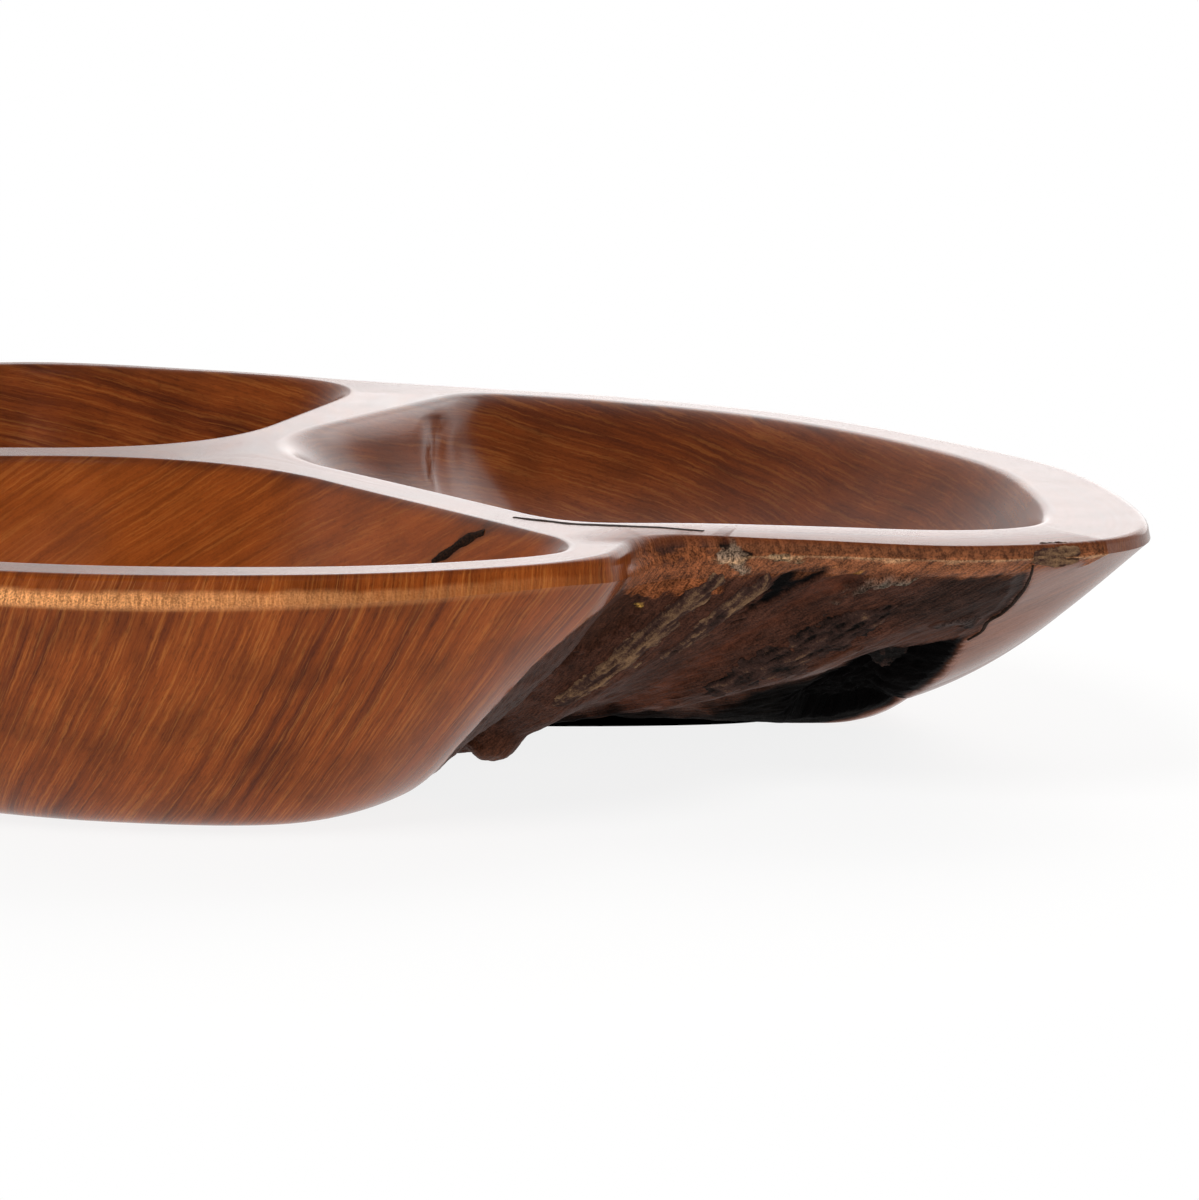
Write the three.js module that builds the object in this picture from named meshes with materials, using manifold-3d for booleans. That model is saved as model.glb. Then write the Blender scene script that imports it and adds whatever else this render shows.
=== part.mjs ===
// A live-edge wooden bowl: three hollows carved side by side in one slice of tree root, with a flat polished
// rim and with bark left in the notch between its front and right lobes.
// Millimetres, +Z up. +X runs to the long right lobe, -Y to the front. The shape is drawn about the point where
// the three dividers meet, then moved so that the origin is on the floor under the middle of the footprint.
// Directions are in degrees, anticlockwise from +X, about that meeting point.

import * as THREE from 'three';
import Module from 'manifold-3d';

const { degToRad, radToDeg, euclideanModulo, inverseLerp, lerp, smoothstep } = THREE.MathUtils;
const wasm = await Module();
wasm.setup();

const HEIGHT = 74; // floor to rim
const RIM_ROUND = 1.2; // rounding of the rim's edges
const CLEARANCE = 0.3; // round each inlaid piece

// How far the rim reaches from the meeting point at each lobe, in the front notch and at the back's waist.
const RIGHT_REACH = 277;
const FRONT_REACH = 201;
const LEFT_REACH = 211;
const NOTCH_REACH = 183;
const WAIST_REACH = 139;

// Going round the bowl: how far the rim reaches, and how far the flat base stays in under it.
const STATIONS = [
  { direction: -120, rim: FRONT_REACH, under: 51 },
  { direction: -100, rim: FRONT_REACH - 3, under: 45 },
  { direction: -82, rim: FRONT_REACH - 2, under: 45 },
  { direction: -69, rim: FRONT_REACH, under: 76 },
  { direction: -59, rim: FRONT_REACH - 2, under: 119 },
  { direction: -50, rim: NOTCH_REACH, under: 97 },
  { direction: -43.5, rim: RIGHT_REACH - 67, under: 137 },
  { direction: -38, rim: RIGHT_REACH - 26, under: 171 },
  { direction: -31, rim: RIGHT_REACH, under: 211 },
  { direction: -23, rim: RIGHT_REACH - 7, under: 180 },
  { direction: -8, rim: RIGHT_REACH - 40, under: 68 },
  { direction: 8, rim: RIGHT_REACH - 79, under: 30 },
  { direction: 24, rim: WAIST_REACH + 34, under: 41 },
  { direction: 43, rim: WAIST_REACH + 12, under: 43 },
  { direction: 60, rim: WAIST_REACH, under: 45 },
  { direction: 78, rim: WAIST_REACH + 1, under: 46 },
  { direction: 97, rim: WAIST_REACH + 22, under: 49 },
  { direction: 116, rim: LEFT_REACH - 16, under: 55 },
  { direction: 140, rim: LEFT_REACH, under: 53 },
  { direction: 161, rim: LEFT_REACH - 15, under: 48 },
  { direction: 184, rim: LEFT_REACH - 35, under: 48 },
  { direction: 207, rim: LEFT_REACH - 18, under: 51 },
  { direction: 224, rim: LEFT_REACH - 8, under: 53 },
];

const HULL_CURVE = 1.9; // 1 makes the flank a straight slope, more makes it fuller
const BELLY = { direction: -21.5, spread: 12, more: 1.6 }; // the flank is fuller under the right lobe
const LIFT = { direction: -27.5, spread: 22, up: 8 }; // the base's edge is clear of the floor there
const FOOT_INSET = 20; // how far in from its edge the base is flat where that edge is lifted
const CREASE = { out: 0.5, below: 2.2 }; // the crease under the rim: how far outside the rim, how far below it
const FRONT_CREASE = { direction: -95, spread: 70, out: 3.5, below: 3.8 }; // what the front lobe adds to that
const NOTCH_ROUND = { direction: -53, spread: 12, more: 2.5 }; // softer rim in the front notch
const FLUTES = { from: -59, to: -31, fade: 6, first: -53.3, pitch: 12.8, depth: 5 }; // grooves of the live edge

// The walls left between the hollows: direction, offset to their left, half width where they start, flare.
const DIVIDERS = {
  frontRight: { direction: -55, aside: 0, half: 7.5, flare: 0.5 },
  backRight: { direction: 64.3, aside: 7.8, half: 2.9, flare: 7.3 },
  left: { direction: 180, aside: 0, half: 7.5, flare: 0.5 },
};
const DIVIDER_BLEND = 45; // how softly the dividers run into each other

// Each hollow lies anticlockwise of one divider and clockwise of the next. Its corner blends are at those two.
const HOLLOWS = {
  front: {
    after: 'left',
    before: 'frontRight',
    corners: [30, 14],
    rim: 14,
    depth: 56,
    run: 68,
    curve: 3,
  },
  right: {
    after: 'frontRight',
    before: 'backRight',
    corners: [44, 12],
    rim: 15,
    depth: 35,
    run: 60,
    curve: 2.4,
  },
  back: {
    after: 'backRight',
    before: 'left',
    corners: [34, 30],
    rim: 6.5,
    depth: 54,
    run: 58,
    curve: 3,
  },
};
const WIDE_END = { direction: -26, spread: 34, more: 11 }; // wider rim at the end of the right lobe

// Inlaid pieces. Each follows a path of places on its surface, with its half width at each. On the flank a
// place is a direction and a share of the way up, on the rim a direction and an inset from its outer edge, in a
// hollow a direction about its middle and an inset from its mouth.
const SEAT = 3; // how deep bark sits in the wood
const FILL_SEAT = 2; // how deep a crack's filling sits
const FILL_CROWN = -0.2; // a crack's filling stays just below the surface
const POCKET_DEPTH = 9; // the dark pocket's floor, under its bark
const INLAYS = [
  {
    name: 'bark_ridge_left',
    on: 'flank',
    seat: SEAT,
    crown: 2.4,
    path: [
      { direction: -45.9, rise: 0.97, half: 1.8 },
      { direction: -46.5, rise: 0.86, half: 3.6 },
      { direction: -47.4, rise: 0.75, half: 4.2 },
      { direction: -48.4, rise: 0.64, half: 4 },
      { direction: -49, rise: 0.48, half: 1.6 },
    ],
  },
  {
    name: 'bark_ridge_middle',
    on: 'flank',
    seat: SEAT,
    crown: 2,
    path: [
      { direction: -43.4, rise: 0.95, half: 1.2 },
      { direction: -43.8, rise: 0.89, half: 2 },
      { direction: -44.3, rise: 0.82, half: 2 },
      { direction: -44.9, rise: 0.75, half: 1 },
    ],
  },
  {
    name: 'bark_patch_right',
    on: 'flank',
    seat: SEAT,
    crown: 1.6,
    path: [
      { direction: -38.2, rise: 0.87, half: 2.5 },
      { direction: -38.4, rise: 0.78, half: 6.5 },
      { direction: -38.6, rise: 0.68, half: 7.5 },
      { direction: -38.8, rise: 0.57, half: 6.5 },
      { direction: -39.2, rise: 0.46, half: 2.5 },
    ],
  },
  {
    name: 'pocket_bark',
    on: 'flank',
    seat: POCKET_DEPTH,
    crown: -5,
    path: [
      { direction: -34, rise: 0.6, half: 2 },
      { direction: -32, rise: 0.62, half: 6 },
      { direction: -30, rise: 0.635, half: 6.5 },
      { direction: -28, rise: 0.65, half: 5.5 },
      { direction: -26.5, rise: 0.66, half: 2 },
    ],
  },
  {
    name: 'rim_bark_chip',
    on: 'flank',
    seat: SEAT,
    crown: 1,
    path: [
      { direction: -35.2, rise: 0.972, half: 1 },
      { direction: -34.3, rise: 0.968, half: 1.8 },
      { direction: -33.2, rise: 0.968, half: 1.8 },
      { direction: -32.2, rise: 0.972, half: 1 },
    ],
  },
  {
    name: 'rim_crack_fill',
    on: 'rim',
    seat: FILL_SEAT,
    crown: FILL_CROWN,
    path: [
      { direction: -54.3, inset: 53, half: 0.5 },
      { direction: -53.1, inset: 40.6, half: 0.7 },
      { direction: -51.5, inset: 27.3, half: 0.8 },
      { direction: -48.9, inset: 18.8, half: 0.7 },
      { direction: -47, inset: 17.3, half: 0.6 },
      { direction: -45.7, inset: 13.8, half: 0.5 },
    ],
  },
  {
    name: 'hollow_bark_streak',
    on: 'front',
    seat: FILL_SEAT,
    crown: FILL_CROWN,
    path: [
      { direction: 348.6, inset: 2, half: 0.9 },
      { direction: 350, inset: 3.2, half: 1.7 },
      { direction: 351.6, inset: 4.8, half: 1.7 },
      { direction: 354, inset: 7, half: 0.9 },
    ],
  },
  {
    name: 'side_seam_fill',
    on: 'flank',
    seat: FILL_SEAT,
    crown: FILL_CROWN,
    path: [
      { direction: -33.7, rise: 0.935, half: 0.6 },
      { direction: -32.4, rise: 0.895, half: 0.9 },
      { direction: -31.1, rise: 0.86, half: 0.9 },
      { direction: -30, rise: 0.825, half: 0.9 },
      { direction: -28.8, rise: 0.785, half: 0.6 },
    ],
  },
];

const WOOD = new THREE.MeshStandardMaterial({ name: 'root_wood', color: '#7d4527', roughness: 0.35 });
const BARK = new THREE.MeshStandardMaterial({ name: 'bark', color: '#3c2c20', roughness: 0.9 });

const COLUMNS_PER_STATION = 5;
const OUTLINE_PER_STATION = 10;
const RISES = [0, 0.1, 0.22, 0.35, 0.5, 0.64, 0.77, 0.89, 1];
const BAND_TOP = 1.15; // a rise above 1 is on the band between the crease and the rim
const INSETS = [0.08, 0.18, 0.3, 0.44, 0.6, 0.78, 1];
const SPOKES = 72;
const SECTIONS = 14;
const ACROSS = 4;
const ABOVE = 2; // how far a cutter stands out of what it cuts

function reachCurve(reachOf) {
  const points = STATIONS.map((station) => {
    const turn = degToRad(station.direction);
    return new THREE.Vector3(Math.cos(turn), Math.sin(turn), 0).multiplyScalar(reachOf(station));
  });
  return new THREE.CatmullRomCurve3(points, true, 'catmullrom', 0.5);
}

const rimCurve = reachCurve(({ rim }) => rim);
const baseCurve = reachCurve(({ rim, under }) => rim - under);
const turns = [...STATIONS.map((station) => station.direction), STATIONS[0].direction + 360];

// The place of a direction on those curves, from 0 to 1, and the direction of a place.
function placeOf(direction) {
  const turn = turns[0] + euclideanModulo(direction - turns[0], 360);
  const next = turns.findIndex((end) => end > turn);
  return (next - 1 + inverseLerp(turns[next - 1], turns[next], turn)) / STATIONS.length;
}

function directionOf(place) {
  const along = euclideanModulo(place, 1) * STATIONS.length;
  const last = Math.floor(along);
  return lerp(turns[last], turns[last + 1], along - last);
}

// 1 at the middle of a spread of directions, easing to 0 at its ends.
function swell({ direction, spread }, at) {
  const away = (euclideanModulo(at - direction + 180, 360) - 180) / spread;
  return Math.abs(away) < 1 ? Math.cos((Math.PI / 2) * away) ** 2 : 0;
}

const roundAt = (direction) => RIM_ROUND + NOTCH_ROUND.more * swell(NOTCH_ROUND, direction);

// The flank without its grooves. A rise of 0 is the base's edge, 1 the crease, BAND_TOP the rim's outer edge.
function plainFlank(direction, rise) {
  const place = placeOf(direction);
  const rim = rimCurve.getPoint(place);
  const front = swell(FRONT_CREASE, direction);
  const edge = HEIGHT - roundAt(direction);
  const crease = rim.clone().setLength(rim.length() + CREASE.out + FRONT_CREASE.out * front);
  crease.z = edge - CREASE.below - FRONT_CREASE.below * front;
  if (rise > 1) return crease.lerp(rim.setZ(edge), (rise - 1) / (BAND_TOP - 1));
  const lowest = LIFT.up * swell(LIFT, direction);
  const curve = HULL_CURVE + BELLY.more * swell(BELLY, direction);
  const point = baseCurve.getPoint(place).lerp(crease, rise);
  return point.setZ(lerp(lowest, crease.z, rise ** curve));
}

// Two steps along a surface from a place on it, each per unit of the place, and the surface's normal there.
function frameOf(surface, a, b, stepA, stepB) {
  const alongA = surface(a + stepA, b).sub(surface(a - stepA, b)).divideScalar(2 * stepA);
  const alongB = surface(a, b + stepB).sub(surface(a, b - stepB)).divideScalar(2 * stepB);
  const normal = new THREE.Vector3().crossVectors(alongA, alongB).normalize();
  return { alongA, alongB, normal };
}

function fluteDepth(direction, rise) {
  const { from, to, fade, first, pitch, depth } = FLUTES;
  const sideways = smoothstep(direction, from, from + fade) * (1 - smoothstep(direction, to - fade, to));
  const upwards = smoothstep(rise, 0, 0.2) * (1 - smoothstep(rise, 0.8, 1));
  const wave = 0.5 + 0.5 * Math.cos((2 * Math.PI * (direction - first)) / pitch);
  return depth * sideways * upwards * wave;
}

function flank(direction, rise) {
  const depth = fluteDepth(direction, rise);
  const point = plainFlank(direction, rise);
  if (depth === 0) return point;
  return point.addScaledVector(frameOf(plainFlank, direction, rise, 0.05, 0.002).normal, -depth);
}

// The flat rim, an inset in from its outer edge.
function rimTop(direction, inset) {
  const rim = rimCurve.getPoint(placeOf(direction));
  return rim.setLength(rim.length() - inset).setZ(HEIGHT);
}

const rimOutline = rimCurve.getPoints(STATIONS.length * OUTLINE_PER_STATION).slice(0, -1);

// Distance in from the rim's outer edge, and 0 outside it. It is summed along the whole edge, near stretches
// first, so it has no crease where two stretches of the edge are equally near.
function insideRim(x, y) {
  let sum = 0;
  let inside = false;
  rimOutline.forEach((start, i) => {
    const end = rimOutline[(i + 1) % rimOutline.length];
    const away = Math.hypot(x - (start.x + end.x) / 2, y - (start.y + end.y) / 2);
    sum += start.distanceTo(end) / away ** 5;
    const spans = start.y > y !== end.y > y;
    if (spans && x < start.x + ((end.x - start.x) * (y - start.y)) / (end.y - start.y)) inside = !inside;
  });
  return inside ? (0.75 * sum) ** -0.25 : 0;
}

function smoothMax(a, b, blend) {
  const near = Math.max(blend - Math.abs(a - b), 0) / blend;
  return Math.max(a, b) + (near * near * blend) / 4;
}

// How far a point lies outside a hollow's mouth, negative inside it.
function outsideMouth(hollow, x, y) {
  const [first, second] = [[hollow.after, 1], [hollow.before, -1]].map(([key, sign]) => {
    const { direction, aside, half, flare } = DIVIDERS[key];
    const turn = degToRad(direction);
    const side = sign * (Math.cos(turn) * y - Math.sin(turn) * x - aside);
    const along = Math.cos(turn) * x + Math.sin(turn) * y;
    return half + Math.tan(degToRad(flare)) * along - side;
  });
  const width = hollow.rim + WIDE_END.more * swell(WIDE_END, radToDeg(Math.atan2(y, x)));
  const corner = hollow.corners[first > second ? 0 : 1];
  return smoothMax(smoothMax(first, second, DIVIDER_BLEND), width - insideRim(x, y), corner);
}

// The roomiest point on the line halfway between a hollow's two dividers.
function middleOf(hollow) {
  const start = DIVIDERS[hollow.after].direction;
  const turn = degToRad(start + euclideanModulo(DIVIDERS[hollow.before].direction - start, 360) / 2);
  let middle = { room: 0 };
  for (let reach = 20; reach < 200; reach += 0.1) {
    const x = reach * Math.cos(turn);
    const y = reach * Math.sin(turn);
    const room = -outsideMouth(hollow, x, y);
    if (room > middle.room) middle = { x, y, room };
  }
  return middle;
}

// The point of a hollow's outline, drawn in by an inset, that lies in a direction from its middle.
function outlinePoint(hollow, direction, inset) {
  const turn = degToRad(direction);
  let near = 0;
  let far = 320;
  while (far - near > 0.001) {
    const reach = (near + far) / 2;
    const x = hollow.middle.x + reach * Math.cos(turn);
    const y = hollow.middle.y + reach * Math.sin(turn);
    if (outsideMouth(hollow, x, y) + inset > 0) far = reach;
    else near = reach;
  }
  return new THREE.Vector3(hollow.middle.x + near * Math.cos(turn), hollow.middle.y + near * Math.sin(turn), 0);
}

function hollowSurface(hollow) {
  const run = Math.min(hollow.run, hollow.middle.room * 0.95);
  return (direction, inset) => {
    const slope = 1 - (1 - Math.min(inset / run, 1)) ** hollow.curve;
    return outlinePoint(hollow, direction, inset).setZ(HEIGHT - RIM_ROUND - (hollow.depth - RIM_ROUND) * slope);
  };
}

// Directions from a hollow's middle that are evenly spaced along its mouth.
function spokesOf(hollow) {
  const fine = Array.from({ length: 541 }, (unused, i) => (i * 360) / 540);
  const mouth = fine.map((direction) => outlinePoint(hollow, direction, 0));
  const lengths = [0];
  for (let i = 1; i < mouth.length; i += 1) lengths.push(lengths[i - 1] + mouth[i].distanceTo(mouth[i - 1]));
  return Array.from({ length: SPOKES }, (unused, i) => {
    const wanted = (lengths.at(-1) * i) / SPOKES;
    const next = lengths.findIndex((length) => length > wanted);
    return lerp(fine[next - 1], fine[next], inverseLerp(lengths[next - 1], lengths[next], wanted));
  });
}

// A closed solid through rings of points, each anticlockwise about the way the rings follow each other.
function solidOf(rings) {
  const count = rings[0].length;
  const ends = [rings[0], rings.at(-1)].map((ring) =>
    ring.reduce((sum, point) => sum.add(point), new THREE.Vector3()).divideScalar(count),
  );
  const points = [...rings.flat(), ...ends];
  const [firstEnd, lastEnd] = [points.length - 2, points.length - 1];
  const top = (rings.length - 1) * count;
  const triangles = [];
  for (let i = 0; i < count; i += 1) {
    const next = (i + 1) % count;
    triangles.push(firstEnd, next, i, lastEnd, top + i, top + next);
    for (let row = 0; row < top; row += count) {
      triangles.push(row + i, row + next, row + count + next);
      triangles.push(row + i, row + count + next, row + count + i);
    }
  }
  const vertProperties = new Float32Array(points.flatMap((point) => point.toArray()));
  return new wasm.Manifold(new wasm.Mesh({ numProp: 3, vertProperties, triVerts: new Uint32Array(triangles) }));
}

function blank() {
  const places = Array.from(
    { length: STATIONS.length * COLUMNS_PER_STATION },
    (unused, i) => i / (STATIONS.length * COLUMNS_PER_STATION),
  );
  const foot = places.map((place) => {
    const edge = baseCurve.getPoint(place);
    return edge.setLength(edge.length() - FOOT_INSET);
  });
  const sides = [...RISES, BAND_TOP].map((rise) => places.map((place) => flank(directionOf(place), rise)));
  const rings = [foot, ...sides];
  for (const bend of [45, 90]) {
    rings.push(
      places.map((place) => {
        const round = roundAt(directionOf(place));
        const rim = rimCurve.getPoint(place);
        rim.setLength(rim.length() - round * (1 - Math.cos(degToRad(bend))));
        return rim.setZ(HEIGHT - round * (1 - Math.sin(degToRad(bend))));
      }),
    );
  }
  return solidOf(rings);
}

function hollowCutter(hollow) {
  const spokes = spokesOf(hollow);
  const wall = hollowSurface(hollow);
  const run = Math.min(hollow.run, hollow.middle.room * 0.95);
  const rings = [...INSETS].reverse().map((share) => spokes.map((direction) => wall(direction, share * run)));
  for (const bend of [0, 45, 90]) {
    const out = RIM_ROUND * (1 - Math.cos(degToRad(bend)));
    const up = HEIGHT - RIM_ROUND * (1 - Math.sin(degToRad(bend)));
    rings.push(spokes.map((direction) => outlinePoint(hollow, direction, -out).setZ(up)));
  }
  rings.push(rings.at(-1).map((point) => point.clone().setZ(HEIGHT + ABOVE)));
  return solidOf(rings);
}

// A strip laid along a path on a surface, from its seat up to its crown, or the pocket that it sits in.
function strip({ on, path, seat, crown }, isPocket) {
  const { surface, place, steps } = SURFACES[on];
  const places = path.map((stop) => new THREE.Vector3(stop[place[0]], stop[place[1]], stop.half));
  const curve = new THREE.CatmullRomCurve3(places);
  const ease = isPocket ? CLEARANCE : 0;
  const rings = [];
  for (let i = 0; i <= SECTIONS; i += 1) {
    const share = i / SECTIONS;
    const { x: a, y: b, z: half } = curve.getPoint(share);
    const { alongA, alongB, normal } = frameOf(surface, a, b, ...steps);
    const ahead = curve.getTangent(share);
    const tangent = alongA.clone().multiplyScalar(ahead.x).addScaledVector(alongB, ahead.y).normalize();
    const sideways = new THREE.Vector3().crossVectors(normal, tangent);
    const [aa, ab, bb] = [alongA.lengthSq(), alongA.dot(alongB), alongB.lengthSq()];
    const [toA, toB] = [alongA.dot(sideways), alongB.dot(sideways)];
    const scale = 1 / (aa * bb - ab * ab);
    const perA = (toA * bb - toB * ab) * scale;
    const perB = (toB * aa - toA * ab) * scale;
    const endShift = i === 0 ? -ease : i === SECTIONS ? ease : 0;
    const upper = [];
    const lower = [];
    for (let k = 0; k <= ACROSS; k += 1) {
      const side = lerp(1, -1, k / ACROSS);
      const offset = side * (half + ease);
      const point = surface(a + perA * offset, b + perB * offset).addScaledVector(tangent, endShift);
      const height = isPocket ? Math.max(crown, 0) + ABOVE : crown - 0.6 * Math.abs(crown) * side * side;
      upper.push(point.clone().addScaledVector(normal, height));
      lower.unshift(point.clone().addScaledVector(normal, -seat - ease));
    }
    rings.push([...upper, ...lower]);
  }
  return solidOf(rings);
}

function meshOf(solid, name, material) {
  const { numProp, vertProperties, triVerts } = solid.getMesh();
  const geometry = new THREE.BufferGeometry();
  geometry.setAttribute('position', new THREE.BufferAttribute(vertProperties, numProp));
  geometry.setIndex(new THREE.BufferAttribute(triVerts, 1));
  geometry.computeVertexNormals();
  const mesh = new THREE.Mesh(geometry, material);
  mesh.name = name;
  return mesh;
}

for (const hollow of Object.values(HOLLOWS)) hollow.middle = middleOf(hollow);

const SURFACES = {
  flank: { surface: flank, place: ['direction', 'rise'], steps: [0.05, 0.002] },
  rim: { surface: rimTop, place: ['direction', 'inset'], steps: [0.1, 0.1] },
  front: { surface: hollowSurface(HOLLOWS.front), place: ['direction', 'inset'], steps: [0.1, 0.1] },
};

let body = blank();
for (const hollow of Object.values(HOLLOWS)) body = body.subtract(hollowCutter(hollow));
for (const inlay of INLAYS) body = body.subtract(strip(inlay, true));

const bowl = new THREE.Group();
bowl.name = 'live_edge_bowl';
bowl.add(meshOf(body, 'bowl_body', WOOD));
for (const inlay of INLAYS) bowl.add(meshOf(strip(inlay, false), inlay.name, BARK));

const middle = new THREE.Box3().setFromObject(bowl).getCenter(new THREE.Vector3());
for (const mesh of bowl.children) mesh.position.set(-middle.x, -middle.y, 0);

export default bowl;
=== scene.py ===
"""Live-edge wooden bowl: one slice of root wood with three polished hollows and bark in its front notch."""

import math
from types import SimpleNamespace

import bpy
import numpy as np
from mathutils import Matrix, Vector, noise


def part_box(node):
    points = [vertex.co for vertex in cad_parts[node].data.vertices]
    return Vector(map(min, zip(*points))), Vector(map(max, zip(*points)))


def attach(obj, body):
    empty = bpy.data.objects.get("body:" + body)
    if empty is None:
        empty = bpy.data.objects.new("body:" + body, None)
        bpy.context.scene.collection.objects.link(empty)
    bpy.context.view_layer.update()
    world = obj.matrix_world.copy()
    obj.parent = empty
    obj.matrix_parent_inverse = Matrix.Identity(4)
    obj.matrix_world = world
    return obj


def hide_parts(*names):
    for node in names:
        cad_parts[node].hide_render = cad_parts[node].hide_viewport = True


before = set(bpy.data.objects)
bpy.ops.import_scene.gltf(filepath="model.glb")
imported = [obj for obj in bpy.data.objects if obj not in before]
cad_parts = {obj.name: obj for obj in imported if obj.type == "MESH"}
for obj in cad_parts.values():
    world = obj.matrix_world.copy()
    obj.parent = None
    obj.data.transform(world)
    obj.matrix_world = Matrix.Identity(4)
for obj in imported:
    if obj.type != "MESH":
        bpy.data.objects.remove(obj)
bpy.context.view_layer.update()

bl_info = {
    "name": "Live-edge bowl",
    "version": (1, 0, 0),
    "blender": (4, 5, 0),
    "location": "3D View > Sidebar > Bowl",
    "description": "Carves a root-wood bowl with three hollows and lays the bark in its live edge",
    "category": "Add Mesh",
}

# The shape is drawn in millimetres about the point where the three dividers meet, as in the part's source.
MM = 0.001
MEETING_POINT = np.array((-31.55, 12.813, 0.0))

# Going round the bowl: direction in degrees, how far the rim reaches, how far the flat base reaches.
STATIONS = np.array(
    [
        (-120, 201, 150), (-100, 198, 153), (-82, 199, 154), (-69, 201, 125), (-59, 199, 80),
        (-50, 183, 86), (-43.5, 210, 73), (-38, 251, 80), (-31, 277, 66), (-23, 270, 90),
        (-8, 237, 169), (8, 198, 168), (24, 173, 132), (43, 151, 108), (60, 139, 94),
        (78, 140, 94), (97, 161, 112), (116, 195, 140), (140, 211, 158), (161, 196, 148),
        (184, 176, 128), (207, 193, 142), (224, 203, 150),
    ]
)
COUNT = len(STATIONS)
TURNS = np.append(STATIONS[:, 0], STATIONS[0, 0] + 360)
FLANK_STEPS = (0.05, 0.002)  # direction and rise, small enough to measure how the flank runs
HULL_CURVE = 1.9  # 1 makes the flank a straight slope, more makes it fuller
BELLY = SimpleNamespace(direction=-21.5, spread=12, more=1.6)  # fuller under the right lobe
LIFT = SimpleNamespace(direction=-27.5, spread=22, up=8)  # the base's edge is clear of the floor there
FOOT_INSET = 20  # how far in from its edge the base is flat
BAND_TOP = 1.15  # a rise above 1 is on the band between the crease and the rim's edge
CREASE_OUT, CREASE_BELOW = 0.5, 2.2
FRONT_CREASE = SimpleNamespace(direction=-95, spread=70, out=3.5, below=3.8)
NOTCH_ROUND = SimpleNamespace(direction=-53, spread=12, more=2.5)
TIP_ROUND = SimpleNamespace(direction=-12, spread=24, more=2)
FLUTES = SimpleNamespace(start=-59, end=-31, fade=6, first=-53.3, pitch=12.8)

# The walls between the hollows: direction, offset to the left, half width at the start, flare in degrees.
DIVIDERS = {
    "front_right": (-55, 0, 7.5, 0.5),
    "back_right": (64.3, 7.8, 2.9, 7.3),
    "left": (180, 0, 7.5, 0.5),
}
DIVIDER_BLEND = 45
FARTHEST = 320.0  # beyond any hollow's outline
ROOM_USED = 0.95  # share of a hollow's room that its wall may take
DENT_TOP, DENT_FOOT = (0, 3), (22, 8)  # insets over which a dent fades in
WIDE_END = SimpleNamespace(direction=-26, spread=34, more=11)

# Each hollow lies anticlockwise of one divider and clockwise of the next. The grain is the slope of its
# lines in degrees. The tone is the wood's own colour there and how much it shows. The lip is softer, and
# the wall has a dent, over a spread of directions from the middle. The dent leans by degrees per mm of
# inset.
NO_DENT = SimpleNamespace(direction=0, spread=1, lean=0, depth=0)
HOLLOWS = {
    "front": SimpleNamespace(
        after="left", before="front_right", corners=(30, 14), rim=14, depth=56, run=68, curve=3,
        grain=33, tone=("#b05a1e", 0.27), dent=NO_DENT,
        soft=SimpleNamespace(direction=-22, spread=50, more=5),
    ),
    "right": SimpleNamespace(
        after="front_right", before="back_right", corners=(44, 12), rim=15, depth=35, run=60, curve=2.4,
        grain=-13, tone=("#4c2412", 0.5),
        dent=SimpleNamespace(direction=119.5, spread=4.5, lean=0.67, depth=3),
        soft=SimpleNamespace(direction=90, spread=170, more=8),
    ),
    "back": SimpleNamespace(
        after="back_right", before="left", corners=(34, 30), rim=6.5, depth=54, run=58, curve=3,
        grain=-11, tone=("#64301a", 0.25), dent=NO_DENT,
        soft=SimpleNamespace(direction=30, spread=120, more=6),
    ),
}

COLUMNS = [16, 16, 12, 50, 60, 64, 60, 60, 50, 40] + [8] * 13  # of the flank, from each station to the next
BESIDE_POCKET = slice(sum(COLUMNS[:8]), sum(COLUMNS[:10]))  # stations from -31 to -8 degrees
FLANK_ROWS = 128
BAND_ROWS = 10
ROUND_ROWS = 5
SPOKES = 220
LIP_ROWS = 8
HOLLOW_ROWS = 22
RIM_SUPPORT = 0.8  # flat ring beside each rounded rim edge

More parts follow.
